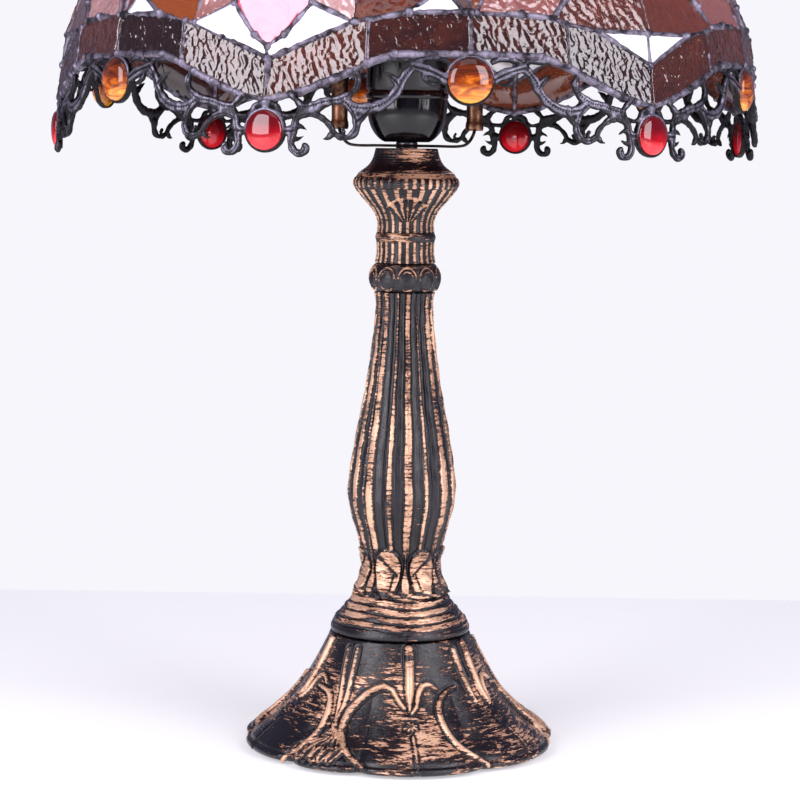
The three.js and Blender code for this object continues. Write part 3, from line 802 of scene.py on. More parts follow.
relief_lathe(
    "fluted_column",
    [(20.4, 67.7), (17.6, 74), (16.4, 82), (19.6, 94.5), (23.7, 113), (20.6, 137.5), (16.2, 161), (13, 185.5),
     (12.3, 196), (13, 201.7)],
    [(ROD_HOLE, 67.7), (ROD_HOLE, 71), (12, 76), (18, 108), (11.5, 161), (8.4, 196), (ROD_HOLE, 199),
     (ROD_HOLE, 201.7)],
    400, 222, column_relief, ["column_casting"])

# %% [markdown]
# A collar sits on the column, with a row of hoops on it like the outlines of ten petals. A hoop is the place
# where the distance from a petal's middle has one value, so a single bell curve draws all ten.

# %% The bead collar
HOOPS, HOOP_AT, HOOP_MIDDLE = 10, 4, 207.8


def collar_relief(degrees, run, height, radius):
    u, _ = nearest_of(HOOPS, HOOP_AT, degrees, radius)
    reach = np.hypot(u / 4.5, (height - HOOP_MIDDLE) / 5.4)
    hoop = bell(reach - 0.9, 0.085)
    inner = bell(reach - 0.58, 0.08) * softly(height, 207, 210)
    rims = bell(height - 203.0, 0.6) + bell(height - 213.4, 0.6)
    upper = 0.6 + 0.4 * softly(height, 206, 211)
    out = 0.6 * (1 - softly(reach, 0.3, 1.0)) + 0.55 * hoop + 0.35 * inner - 0.3
    return out + 0.3 * rims, 0.12 + (0.68 * hoop + 0.5 * inner) * upper + 0.25 * rims


relief_lathe(
    "bead_collar_ring", [(13, 202), (14.8, 204.2), (15.7, 207.8), (14.9, 211.4), (13.2, 214.3)],
    [(ROD_HOLE, 202), (ROD_HOLE, 214.3)], 400, 48, collar_relief, ["bead_collar"])

# %% [markdown]
# The neck repeats the ribs, is tied by a plain band half way, and opens into a cup whose lip is gadrooned. At
# the front of the cup the ribs give way to a small palmette: bent lines that spread from one root. They are
# drawn by the angle and the distance from that root, as a fan is.

# %% The neck and its cup
NECK_RIBS, NECK_RIB_AT = 24, 4
BAND_LOW, BAND_HIGH = 223.4, 228.2
PALMETTE_AT, PALMETTE_ROOT, PALMETTE_REACH = 3, 230.5, 12.6


def palmette(degrees, height, radius):
    """How far each point is inside the palmette, on one of its lines, and on the arc over it."""
    x, z = np.radians(wrapped(degrees - PALMETTE_AT)) * radius, height - PALMETTE_ROOT
    reach = np.hypot(x, z)
    angle = np.degrees(np.arctan2(x, z))
    above_root = softly(z, 2.0, 3.0)
    fan = (1 - softly(reach, PALMETTE_REACH, PALMETTE_REACH + 0.6)) * above_root
    fan = fan * (1 - softly(np.abs(angle), 44, 50))
    bend = angle * (1 - 0.035 * np.clip(reach - 7, 0, 6)) + 4 * np.sign(angle) * softly(reach, 8, 10)
    lines = 1 - softly(np.abs(bend / 17 - np.round(bend / 17)), 0.16, 0.3)
    arc = bell(reach - PALMETTE_REACH, 0.7) * (np.abs(angle) < 50)
    return fan, lines, arc, above_root


def neck_relief(degrees, run, height, radius):
    flute = 1 - softly(rib_phase(degrees, NECK_RIBS, NECK_RIB_AT), 0.3, 0.5)
    band = span(height, BAND_LOW, BAND_HIGH, 0.8)
    band_curve = np.sin(np.pi * np.clip((height - BAND_LOW) / (BAND_HIGH - BAND_LOW), 0, 1))
    lip = softly(height, 251.2, 252)
    beads = softly(height, 246.4, 247.6) * (1 - lip)
    gadroon = np.abs(np.cos(np.radians(degrees * 20)))
    out = (0.75 * flute - 0.35) * (1 - band) * (1 - lip) * (1 - beads)
    out = out + 0.75 * band * band_curve + beads * (0.5 * gadroon - 0.1)
    fan, lines, arc, above_root = palmette(degrees, height, radius)
    patches = 0.5 + 0.5 * np.sin(np.radians(degrees) + 2.4)
    raised = 0.72 * flute * (1 - band) * (1 - fan) * (1 - beads)
    raised = raised + fan * 0.66 * lines + 0.55 * arc * (1 - beads) * above_root
    raised = np.maximum(raised, band * (0.12 + 0.38 * patches))
    raised = np.maximum(raised, beads * (0.14 + 0.5 * softly(gadroon, 0.5, 0.95)))
    raised = np.maximum(raised, lip * 0.56)
    return out * (1 - fan) + fan * (0.7 * lines - 0.2) + 0.35 * arc * (1 - beads), raised + 0.02


relief_lathe(
    "fluted_neck",
    [(13, 214.6), (12.3, 219), (12.5, 225.5), (12.1, 232), (14.2, 237.4), (18.6, 242.6), (22.1, 247),
     (22.9, 250), (21.0, 253.7)],
    [(ROD_HOLE, 214.6), (ROD_HOLE, 253.7)], 480, 132, neck_relief, ["neck_casting"])

# %% [markdown]
# The cone above the cup is plain, so here the brush marks themselves are the pattern. The brush went over
# its upper half at the front and at one place behind, and the sides stayed nearly black.

# %% The cone on the cup
def cone_relief(degrees, run, height, radius):
    turning = 0.10 * np.sin(run * 5.2) + 0.06 * np.sin(run * 11 + np.radians(degrees))
    patch = bell(wrapped(degrees - 8), 42) + bell(wrapped(degrees - 150), 60)
    high = softly(height, 257, 261)
    return turning, 0.1 + 0.42 * patch * high + 0.1 * high + 0.3 * (1 - softly(height, 254.6, 255.6))


relief_lathe(
    "brushed_cone", [(20.6, 254), (18.4, 255.6), (16.2, 257.6), (14.6, 260.6), (13.6, 264.5)],
    [(ROD_HOLE, 254), (ROD_HOLE, 264.5)], 240, 40, cone_relief, ["neck_cap"])

# %% [markdown]
# ## The shade
# The dome is a half ellipse. Its glass is cut flat, piece by piece, and each piece is wrapped in lead came
# and soldered to its neighbours, so the dome is really a great many small flat panes. Points of the hem come
# in two kinds, one with a pink petal and one with a white triangle split down its middle.

# %% Places on the dome
DOME_RADIUS, DOME_RISE, DOME_BASE = 149.0, 136.0, 284.0  # the dome's base is where it is widest
HEM_POINTS = [-21 + 60 * k for k in range(6)]
PETAL_POINTS = HEM_POINTS[0::2]


def on_dome(degrees, height):
    """A point on the middle of the glass."""
    rise = np.arcsin(np.clip((height - DOME_BASE) / DOME_RISE, -1, 1))
    return around(DOME_RADIUS * np.cos(rise), degrees, DOME_BASE + DOME_RISE * np.sin(rise))


# %% [markdown]
# A real maker cuts every sheet to a paper pattern over a mould. Each list below is such a pattern for one
# twelfth of the dome: (degrees from a point of the hem, height) for every corner. Mirrored and turned round
# the axis they give all the panes. Neighbours share corners, and the came covers the joints.

# %% The drawing of one twelfth, from a hem point to half way
HEM = [(0, 282.6), (5, 285.1), (9, 289.1), (12.5, 292.9), (15, 296.4)]
HEM_FLAT = [(15, 296.4), (19, 299.6), (30, 300.2)]
ROWS = [346, 358, 380, 400, 418.2]


def upper_rows(first_belt, second_belt):
    """The rows over the big panes. Only the lowest differs between the two kinds of hem point."""
    rows = []
    kinds = [(first_belt, second_belt), ("amber", "brown"), ("brown", "amber")]
    for low, high, pair in zip(ROWS, ROWS[1:-1], kinds):
        for i, kind in enumerate(pair):
            a = 15 * i
            rows.append((kind, [(a, low), (a + 15, low), (a + 15, high), (a, high)]))
    rows.append(("maroon", [(0, ROWS[-2]), (15, ROWS[-2]), (30, ROWS[-2]), (30, ROWS[-1]), (0, ROWS[-1])]))
    return rows


PETAL_SIDE = [
    ("border", HEM + [(15, 312), (13, 311.4), (0, 297.8)]),
    ("border", HEM_FLAT + [(30, 315.4), (21, 315.4), (15, 312)]),
    ("white", [(0, 297.8), (13, 311.4), (6.4, 318.5), (2.4, 306.5), (0, 302)]),
    ("wavy", [(6.4, 318.5), (13, 311.4), (12.7, 346), (0, 346), (4.8, 331)]),
    ("amber", [(13, 311.4), (15, 312), (21, 315.4), (26.4, 324.1), (23.4, 346), (12.7, 346)]),
    ("white", [(21, 315.4), (29.2, 315.4), (26.4, 324.1)]),
    ("brown", [(29.2, 315.4), (30, 315.4), (30, 346), (23.4, 346), (26.4, 324.1)]),
] + upper_rows("maroon", "cream")
PETAL = [(0, 302), (2.4, 306.5), (6.4, 318.5), (4.8, 331), (0, 346),
         (-4.8, 331), (-6.4, 318.5), (-2.4, 306.5)]

SPLIT_SIDE = [
    ("border", HEM + [(15, 311.8), (9.4, 309.8), (0, 297.4)]),
    ("border", HEM_FLAT + [(30, 315.4), (22, 315.4), (17, 314), (15, 311.8)]),
    ("white", [(0, 297.4), (9.4, 309.8), (0, 310)]),
    ("brown", [(0, 310), (9.4, 309.8), (15, 311.8), (17, 314), (14.4, 322), (6.5, 346), (0, 346)]),
    ("wavy", [(17, 314), (22, 315.4), (28.8, 315.4), (22.3, 346), (6.5, 346), (14.4, 322)]),
    ("amber", [(28.8, 315.4), (30, 315.4), (30, 346), (22.3, 346)]),
] + upper_rows("cream", "maroon")


def all_panes():
    """(gore number, kind, corners in absolute degrees) of every pane of the shade."""
    panes = []
    for k, point in enumerate(HEM_POINTS):
        drawing = PETAL_SIDE if point in PETAL_POINTS else SPLIT_SIDE
        for side in (1, -1):
            gore = k if side > 0 else (k - 1) % 6
            for kind, corners in drawing:
                placed = [(point + side * a, z) for a, z in corners]
                panes.append((gore + 1, kind, placed[::side]))
        if point in PETAL_POINTS:
            panes.append((k + 1, "pink", [(point + a, z) for a, z in PETAL]))
    return panes


PANES = all_panes()
print(len(PANES), "panes")

# %% [markdown]
# Each pane is cut from its corners: they are brought onto the flat plane that fits them best, a fine grid of
# points fills the outline, and the face is pushed up and down by a noise that runs in crooked ridges, which
# is how a rolled sheet looks. The sheet is tilted by a hair, as no two panes of a real shade are set alike.

# %% Cutting a pane
SHEET = 2.4
TILT = 0.03
GRAIN_MM = {"border": 0.72, "amber": 1.05, "brown": 1.05, "wavy": 1.0}
COARSE_GRAIN_MM = 2.6
RIPPLE_MM = {"border": 0.34, "amber": 0.26, "brown": 0.28, "wavy": 0.4, "maroon": 0.2, "cream": 0.05,
             "white": 0.04, "pink": 0.05}
OPAL_KINDS = ("pink", "white", "cream")


def outline_points(corners, spacing):
    """The outline with extra points along its edges."""
    made = []
    for a, b in zip(corners, np.roll(corners, -1, axis=0)):
        count = max(1, int(np.linalg.norm(b - a) / spacing))
        made.extend(a + (b - a) * i / count for i in range(count))
    return np.asarray(made)


def inside_outline(points, outline):
    """Which points are inside a closed outline."""
    x, y = points[:, :1], points[:, 1:]
    x0, y0 = outline[:, 0], outline[:, 1]
    x1, y1 = np.roll(x0, -1), np.roll(y0, -1)
    crossing = ((y0 > y) != (y1 > y)) & (x < (x1 - x0) * (y - y0) / (y1 - y0 + 1e-12) + x0)
    return crossing.sum(axis=1) % 2 == 1


def ripple_at(x, y, seed):
    """Crooked ridges, a few mm apart, mostly between -1 and 1."""
    bend = noise.noise(Vector((x * 0.2, y * 0.2, seed))) * 2.6
    ridge = noise.noise(Vector((x * 0.95 + bend, y * 0.55 - bend, seed + 9)))
    return ridge * 1.7


def cut_pane(kind, corners):
    """Points and triangles of one flat pane, rippled on its outer face."""
    solid = np.array([on_dome(a, z) for a, z in corners])
    middle = solid.mean(axis=0)
    axes = np.linalg.svd(solid - middle)[2]
    normal = axes[2] if axes[2] @ (middle - [0, 0, DOME_BASE]) > 0 else -axes[2]
    normal = unit(normal + TILT * np.array([DICE.uniform(-1, 1) for _ in range(3)]))
    across = unit(np.cross(UP, normal))
    upward = np.cross(normal, across)
    spacing = GRAIN_MM.get(kind, COARSE_GRAIN_MM)
    flat = np.stack([(solid - middle) @ across, (solid - middle) @ upward], axis=1)
    edge = outline_points(flat, spacing * 1.3)
    low, high = edge.min(axis=0), edge.max(axis=0)
    gx, gy = np.meshgrid(np.arange(low[0], high[0], spacing), np.arange(low[1], high[1], spacing * 0.87))
    gx[1::2] += spacing / 2
    grid = np.stack([gx.ravel(), gy.ravel()], axis=1)
    grid = grid[inside_outline(grid, edge * 0.975)]
    count = len(edge)
    loop = [(i, (i + 1) % count) for i in range(count)]
    places = [Vector(p) for p in np.vstack([edge, grid])]
    points, _, faces, *_ = geometry.delaunay_2d_cdt(places, loop, [], 1, 1e-4)
    flat = np.array([tuple(p) for p in points])
    seed = DICE.uniform(0, 90)
    height = np.array([ripple_at(x, y, seed) for x, y in flat]) * RIPPLE_MM[kind]
    surface = middle + flat[:, :1] * across + flat[:, 1:] * upward
    front = surface + normal * (SHEET / 2 + height[:, None])
    back = surface[:count] - normal * (SHEET / 2)
    base = len(front)
    faces = [tuple(f) for f in faces]
    faces += [(i, base + i, base + (i + 1) % count, (i + 1) % count) for i in range(count)]
    faces.append(tuple(base + i for i in range(count))[::-1])
    a, b, c = front[list(faces[0])]
    if np.cross(b - a, c - a) @ normal < 0:
        faces = [f[::-1] for f in faces]
    return np.vstack([front, back]), faces


# %% [markdown]
# Panes of one kind of glass in one sixth of the dome make one piece, so that a sixth can be hidden or
# changed on its own. Each pane still gets its own "tone", because a real shade is cut from several sheets.

# %% Setting the panes
def glaze():
    """One piece for each kind of glass in each gore."""
    groups = {}
    for gore, kind, corners in PANES:
        groups.setdefault((gore, kind), []).append(corners)
    total = 0
    for (gore, kind), panes in sorted(groups.items()):
        cut, tones = [], []
        for corners in panes:
            cut.append(cut_pane(kind, corners))
            tones.append(np.full(len(cut[-1][0]), DICE.random()))
        points, faces = gather(cut)
        slot = "opal_glass" if kind in OPAL_KINDS else "ripple_glass"
        new_piece(f"gore_{gore}_{kind}_glass", points, faces, glass[kind], "shade",
                  [f"glass_gore_{gore}"], {"tone": np.concatenate(tones)})
        total += len(faces)
    print("glass:", len(groups), "pieces,", total, "faces")


glaze()

# %% [markdown]
# The came is lead with a skin of solder. It is drawn as a flattened tube along every edge of every pane,
# once, with a lump of solder where edges meet. Solder flows unevenly, so the tube's thickness wanders.

# %% Lead and solder
CAME_DEEP, HEM_WIDE, CAME_WIDE = 1.75, 1.6, 1.25
CAME_LUMPS, CAME_STEP, CAME_SIDES = 0.27, 1.8, 10
LUMP_RISE, LUMP_ROWS, LUMP_COLUMNS = 2.55, 7, 12
DOME_CENTRE = np.array([0, 0, DOME_BASE - 60])


def came(a, b, half_width):
    """A flattened tube between two points of the dome."""
    count = max(2, int(np.linalg.norm(b - a) / CAME_STEP))
    line = a + (b - a) * np.linspace(0, 1, count + 1)[:, None]
    out = unit(line - DOME_CENTRE)
    side = unit(np.cross(b - a, out))
    size = np.array([1 + CAME_LUMPS * noise.noise(Vector(p * 0.35)) for p in line])
    return sweep(line, side, out, size[:, None, None] * oval(CAME_SIDES, half_width, CAME_DEEP))


def solder_lump(at, size):
    """A low dome of solder at a joint, standing out both sides of the glass."""
    out = unit(at - DOME_CENTRE)
    side = unit(np.cross(UP, out))
    up = np.cross(out, side)
    rows = []
    for lift in np.linspace(-np.pi / 2, np.pi / 2, LUMP_ROWS):
        flat = math.cos(lift) * size * 0.95
        for t in full_turn(LUMP_COLUMNS):
            p = side * math.cos(t) * flat + up * math.sin(t) * flat
            rows.append(at + p * (1 + 0.2 * noise.noise(Vector(at + p))) + out * math.sin(lift) * LUMP_RISE)
    return np.array(rows), tube_faces(LUMP_ROWS, LUMP_COLUMNS)


def spot(corner):
    """A key for a corner that neighbouring panes share."""
    return round((corner[0] + 720) % 360, 1), corner[1]


def lead_edges():
    """Every edge between two panes once, as ((degrees, height), (degrees, height))."""
    found = {}
    for _, _, corners in PANES:
        for a, b in zip(corners, corners[1:] + corners[:1]):
            found.setdefault(tuple(sorted((spot(a), spot(b)))), (a, b))
    return [found[key] for key in sorted(found)]


def lead_the_panes():
    hem_heights = {z for _, z in HEM + HEM_FLAT}
    parts, joints = [], {}
    for a, b in lead_edges():
        on_hem = a[1] in hem_heights and b[1] in hem_heights
        parts.append(came(on_dome(*a), on_dome(*b), HEM_WIDE if on_hem else CAME_WIDE))
        for end in (spot(a), spot(b)):
            joints[end] = joints.get(end, 0) + 1
    for end, meeting in sorted(joints.items()):
        parts.append(solder_lump(on_dome(*end), 1.4 + 0.17 * meeting + DICE.uniform(-0.1, 0.25)))
    parts.append(turned_points([(22.6, 416.6), (24.6, 416.9), (24.8, 418.6), (24, 420.1), (22.6, 420.2)], 72))
    points, faces = gather(parts)
    new_piece("lead_came_and_solder", points, faces, soldered, "shade", ["leadwork"])
    print("came:", len(faces), "faces,", len(joints), "solder joints")


lead_the_panes()

# %% [markdown]
# ## The filigree skirt
# Six castings hang below the hem, each with a red stone under a point of the hem and a honey stone half way
# to the next. Half of one is drawn here as strokes through points of (mm along from the hem point, height),
# and mirrored. Every stroke becomes a flattened tapering rod, and one voxel remesh melts the rods into a
# single casting with soft joins.

# %% Places on the skirt
SKIRT_RADIUS, SKIRT_FLARE = 151.0, 0.115
RED_SIZE, RED_HEIGHT = 7.5, 270.8
HONEY_SIZE, HONEY_HEIGHT = 8.6, 290.3
RED_RISE, HONEY_RISE = 3.0, 4.2
HALF_SPAN = SKIRT_RADIUS * math.pi / 6


def skirt_radius(height):
    return SKIRT_RADIUS - SKIRT_FLARE * (height - RED_HEIGHT)


def on_skirt(along, height):
    return around(skirt_radius(height), np.degrees(along / SKIRT_RADIUS), height)


# %% [markdown]
# Broad strokes are the main scrolls, and thin ones end in a curl or a spur. The two numbers after a stroke's
# points are its half thickness in the middle and at its end.

# %% The drawing of half a casting
SCROLLS = [
    ([(1.2, 281.2), (4.6, 279.8), (6.2, 277.2), (9, 276.2), (12.5, 277)], 0.95, 0.8),
    ([(8.6, 285.6), (12.4, 282.2), (15, 279.4)], 1.15, 1.1),
    ([(14.2, 279.4), (19, 280.2), (23.5, 281.6), (29.5, 282.6), (33.6, 284.8), (36, 288), (35.8, 291.4),
      (33.4, 294)], 1.55, 1.2),
    ([(12.4, 275.2), (16.4, 276.8), (20.4, 276.6), (23.6, 275), (26.3, 272.4), (27.4, 270)], 1.2, 1.1),
    ([(14.6, 278.2), (18.6, 278.2), (23, 279.6), (26, 281.4)], 1.1, 0.7),
    ([(14.2, 279.2), (12.6, 275.4), (12, 272.5), (11.5, 269.5), (10.9, 266.5), (11.9, 263.6), (14.2, 262.2),
      (16.3, 262.9), (16.8, 264.6), (15.3, 265.2)], 1.3, 1.25),
    ([(11.8, 271.6), (14.2, 272.4), (17, 271)], 1.1, 0.25),
    ([(11.4, 267.4), (13.6, 267.6), (16, 268.8)], 0.9, 0.25),
    ([(8.8, 270.4), (12, 270.6)], 1.6, 1.5),
    ([(27.2, 270.2), (30, 268.6), (33.2, 268.5), (35.6, 270.6), (36.2, 274), (34.8, 278), (32.3, 281.2)],
     1.3, 1.3),
    ([(30.6, 270.8), (31.6, 271.4)], 1.35, 1.2),
    ([(27.3, 270.4), (25.4, 268.2), (23.4, 267.6)], 1.1, 0.3),
    ([(31, 281.8), (36, 279.6), (42.5, 279.8), (48, 282.5), (51.6, 286.8), (53.8, 291.2), (57.4, 295.4)],
     1.85, 1.5),
    ([(51.8, 288.2), (49.4, 290.9), (45.8, 293.2)], 1.3, 0.25),
    ([(36.2, 274.4), (38.6, 276.4), (41.2, 279)], 1.2, 0.7),
    ([(56.6, 295.4), (61, 294.4), (66, 292.6), (70, 290.6)], 1.75, 1.9),
    ([(57.4, 296.6), (62, 298.2), (67, 298.6), (71, 297)], 1.1, 1.0),
    ([(33.2, 294), (38, 296.4), (45, 297.7), (57, 297.9)], 1.15, 1.1),
    ([(61, 293.8), (61.6, 290.8), (64.4, 288.8), (67.4, 289)], 1.1, 0.5),
]


def scroll_path(points, side, count):
    """A smooth path through (along, height) points, on one side of the hem point."""
    return even_curve([(side * a, z) for a, z in points], count)


ROD_SCALE, ROD_SWELL = 1.2, 0.34
ROD_SIDES, ROD_FLATNESS = 10, 0.8
BEZEL_COLUMNS = 40


def scroll_rod(points, wide, thin, side):
    """A tapering rod along a stroke, flattened towards the lamp."""
    path = scroll_path(points, side, 3 + 4 * len(points))
    line = on_skirt(path[:, 0], path[:, 1])
    out = unit(line * [1, 1, 0])
    across = np.cross(unit(np.gradient(line, axis=0)), out)
    swell = [1 + ROD_SWELL * noise.noise(Vector(p * 0.45)) for p in line]
    size = np.interp(np.linspace(0, 1, len(line)), [0, 0.35, 1], [wide * 0.85, wide, thin])
    size = ROD_SCALE * size * swell
    return sweep(line, across, out, size[:, None, None] * oval(ROD_SIDES, 1, ROD_FLATNESS))


def turned_outward(section, along, height, columns):
    """(radius, depth) points turned about the level axis that a stone faces along."""
    centre = on_skirt(along, height)
    out = unit(centre * [1, 1, 0])
    side = np.array([-out[1], out[0], 0])
    return np.array([centre + out * depth + (side * math.cos(t) + UP * math.sin(t)) * radius
                     for radius, depth in section for t in full_turn(columns)])


def bezel_ring(along, height, size, wall, lift):
    """The collar that holds a stone."""
    section = [(size + 0.1, -1.9), (size + wall, -1.9), (size + wall + 0.2, 0.4), (size + wall - 0.5, lift),
               (size - 0.2, lift - 0.1), (size + 0.1, 0.6)]
    faces = net_faces(len(section), BEZEL_COLUMNS, loop_rows=True)
    return turned_outward(section, along, height, BEZEL_COLUMNS), faces


# %% [markdown]
# Rods that only overlap would show hard seams. A voxel remesh rebuilds them as one skin and a short smoothing
# rounds the joins. It runs once, and the six castings are turned copies of the result.

# %% Melting one casting together
VOXEL_MM = 0.42


def melted(points, faces):
    """The same parts as one skin, as points in mm and faces."""
    mesh = bpy.data.meshes.new("wax")
    mesh.from_pydata((points * MM).tolist(), [], faces)
    wax = bpy.data.objects.new("wax", mesh)
    bpy.context.scene.collection.objects.link(wax)
    remesh = wax.modifiers.new("remesh", "REMESH")
    remesh.mode = "VOXEL"
    remesh.voxel_size = VOXEL_MM * MM
    smooth = wax.modifiers.new("smooth", "SMOOTH")
    smooth.factor, smooth.iterations = 0.5, 3
    ready = wax.evaluated_get(bpy.context.evaluated_depsgraph_get()).to_mesh()
    made = np.array([v.co for v in ready.vertices]) / MM
    made_faces = [tuple(f.vertices) for f in ready.polygons]
    bpy.data.objects.remove(wax)
    return made, made_faces


def groove(points):
    """Cuts a shallow channel along the middle of the broad scrolls and says how far each point stands up."""
    radius = np.hypot(points[:, 0], points[:, 1])
    along = np.arctan2(points[:, 0], -points[:, 1]) * SKIRT_RADIUS
    off = radius - skirt_radius(points[:, 2])
    nearest = np.full(len(points), 1e9)
    grooved = [(scroll, wide) for scroll, wide, _ in SCROLLS if wide >= 1.2]
    for side in (-1, 1):
        for scroll, wide in grooved:
            path = scroll_path(scroll, side, 30)
            d = np.hypot(along[:, None] - path[None, :, 0], points[:, None, 2] - path[None, :, 1]).min(axis=1)
            nearest = np.minimum(nearest, d / wide)
    channel = bell(nearest, 0.3) * (off > 0)
    pushed = points.copy()
    pushed[:, :2] *= (1 - 0.5 * channel / radius)[:, None]
    stands = softly(off, 0.2, 1.5) * (1 - 0.9 * channel)
    return pushed, np.clip(stands + 0.25 * (off < -1.2), 0, 1)


def filigree_casting():
    parts = [scroll_rod(points, wide, thin, side) for side in (-1, 1) for points, wide, thin in SCROLLS]
    parts.append(scroll_rod([(0, 282.4), (0, 279.4)], 1.9, 1.5, 1))
    parts.append(bezel_ring(0, RED_HEIGHT, RED_SIZE, 0.95, 0.8))
    parts.append(bezel_ring(HALF_SPAN, HONEY_HEIGHT, HONEY_SIZE, 0.85, 0.9))
    points, faces = melted(*gather(parts))
    return (*groove(points), faces)


def turn_points(points, degrees):
    a = math.radians(degrees)
    matrix = np.array([[math.cos(a), -math.sin(a), 0], [math.sin(a), math.cos(a), 0], [0, 0, 1]])
    return points @ matrix.T


casting, casting_raised, casting_faces = filigree_casting()
for number, point in enumerate(HEM_POINTS, 1):
    new_piece(f"filigree_scrolls_{number}", turn_points(casting, point), casting_faces, pewter, "shade",
              [f"filigree_{number}"], {"raised": casting_raised})
print("filigree casting:", len(casting_faces), "faces")

# %% [markdown]
# The stones are cabochons: low polished domes with a flat back. The honey ones stand higher than the red. A
# squashed sphere would do for the dome, but a turned section gives the straight girdle and the back as well.

# %% Cabochons
def cabochon(name, along, height, size, rise, degrees, finish, node):
    columns, flat_back, girdle = 48, -1.2, 0.7
    lift = np.linspace(0, np.pi / 2, 14)[:-1]
    section = [(size, flat_back)]
    section += [(size * math.cos(a) ** 0.9, girdle + (rise - girdle) * math.sin(a)) for a in lift]
    dome = turned_outward(section, along, height, columns)
    tip_and_back = turned_outward([(0, rise), (0, flat_back)], along, height, 1)
    glow = [0.5 - 0.5 * math.sin(t) * radius / size for radius, _ in section for t in full_turn(columns)]
    last, tip, back = len(dome) - columns, len(dome), len(dome) + 1
    faces = net_faces(len(section), columns)
    faces += [(last + i, last + (i + 1) % columns, tip) for i in range(columns)]
    faces += [((i + 1) % columns, i, back) for i in range(columns)]
    points = turn_points(np.vstack([dome, tip_and_back]), degrees)
    new_piece(name, points, faces, finish, "shade", [node], {"glow": glow + [0.5, 0.5]})


for number, point in enumerate(HEM_POINTS, 1):
    cabochon(f"red_stone_{number}", 0, RED_HEIGHT, RED_SIZE, RED_RISE, point,
             ruby_glass, f"red_cabochon_{number}")
    cabochon(f"honey_stone_{number}", HALF_SPAN, HONEY_HEIGHT, HONEY_SIZE, HONEY_RISE, point,
             honey_glass, f"amber_cabochon_{number}")
print("12 stones")

# %% [markdown]
# ## The lamp holder, the bulb and the harp
# The holder is two moulded shells of black phenolic. Inside sit a porcelain core, a brass shell with a
# rolled thread, and the contact under it. The true thread is a helix. Rings look the same at this size and
# need only a profile that swings in and out, so the thread is turned like everything else here.

# %% The lamp holder
def rolled_thread(radius, depth, low, high, pitch, points_per_turn=6):
    """A wavy profile between two heights."""
    count = int((high - low) / pitch * points_per_turn)
    heights = np.linspace(low, high, count + 1)
    swing = 0.5 - 0.5 * np.cos((heights - low) / pitch * 2 * np.pi)
    return [(radius - depth * s, z) for s, z in zip(swing, heights)]


LAMP_THREAD = (294.4, 320.4, 3.6)  # from, to, pitch
SADDLE_POST = 29.5  # from the axis to each post
NEAR_AXIS = 0.02

turned("holder_cap",
       [(9.7, 267.2), (11.6, 268.2), (14.0, 270.6), (15.8, 273.6), (16.9, 277), (17.4, 281), (17.6, 285.7)],
       [(5.2, 267.2), (5.2, 269.6), (12, 272), (15.4, 279.4), (15.8, 285.7)],
       phenolic, "socket_cap", smooth_rows=30)
turned("holder_shell",
       [(17.6, 286), (18, 286.5), (18, 288.6), (17.4, 289), (17.4, 290), (17.9, 290.4), (17.9, 318.4),
        (18.0, 318.8), (18.0, 321.2), (17.4, 322)],
       [(16.2, 286), (16.2, 322)], phenolic, "socket_shell")
turned("holder_core", [(15.6, 286.5), (15.6, 291.5), (14.6, 292), (14.6, 294)], [(2, 286.5), (2, 294)],
       porcelain, "socket_core")
turned("threaded_shell", rolled_thread(14, 0.5, *LAMP_THREAD), rolled_thread(13.4, 0.5, *LAMP_THREAD),
       brass, "screw_shell")
turned("middle_contact", [(3, 294.3), (3, 296), (2.2, 296.8), (0.4, 297)],
       [(NEAR_AXIS, 294.3), (NEAR_AXIS, 297)], brass, "centre_contact", columns=32)
for side, x in (("left", -SADDLE_POST / 3), ("right", SADDLE_POST / 3)):
    turned(f"wire_screw_{side}", [(2.6, 282.8), (2.6, 284.8), (2.0, 285.8), (0.7, 286.1)],
           [(NEAR_AXIS, 282.8), (NEAR_AXIS, 286.0)],
           brass, f"terminal_screw_{side}", columns=28, shift=x)

# %% [markdown]
# The bulb is pear shaped, so its profile is a smooth curve and not a row of corners. It has a real wall, so
# that light passes two surfaces as it does in glass.

# %% The bulb
turned("frosted_bulb",
       [(11.6, 322.4), (14, 329), (21, 341), (23.5, 353.5), (20.6, 366), (12, 375.4), (0.05, 378)],
       [(10.8, 322.6), (13.2, 329), (20.2, 341), (22.6, 353.5), (19.8, 365.6), (11.4, 374.6), (0.05, 377)],
       frosted, "bulb_glass", "bulb", 64, 60)
turned("bulb_screw_cap",
       [(12.0, 299.4)] + rolled_thread(12.9, 0.7, 300.6, 317.2, 3.6) + [(12.2, 318.4), (12.2, 322)],
       [(4.4, 299.4), (11.6, 301.2), (11.6, 322)], nickel, "bulb_cap", "bulb")
turned("bulb_tip", [(3.6, 299.0), (3.6, 300.3)], [(NEAR_AXIS, 297.3), (2.4, 297.6), (3.3, 298.4)],
       nickel, "bulb_contact", "bulb", 32)

# %% [markdown]
# The harp is a bowed wire. Its feet go into sleeves that drop over the two posts of the saddle, a strip of
# darker bronze bent up at both ends. Lift the sleeves and the harp comes off.

# %% Saddle, harp and sleeves
STRIP_THICK, HARP_WIRE_RADIUS = 1.2, 1.68
HARP = [(SADDLE_POST, 283.5), (SADDLE_POST, 296), (29.7, 309), (40, 327), (47.5, 350), (47, 372), (37, 396),
        (20, 411.5), (0, 416.3)]
SADDLE_HALF = [(SADDLE_POST, 283), (SADDLE_POST, 276), (29.3, 271.5), (26.6, 267), (22.4, 265.6), (12, 265.6),
               (0.1, 265.6)]


def upright_line(path):
    """A line from (x, z) points, with the direction across it that stays in the same plane."""
    ahead = unit(np.gradient(path, axis=0))
    line = np.insert(path, 1, 0.0, axis=1)
    across = np.insert(ahead[:, ::-1] * [1, -1], 1, 0.0, axis=1)
    return line, across


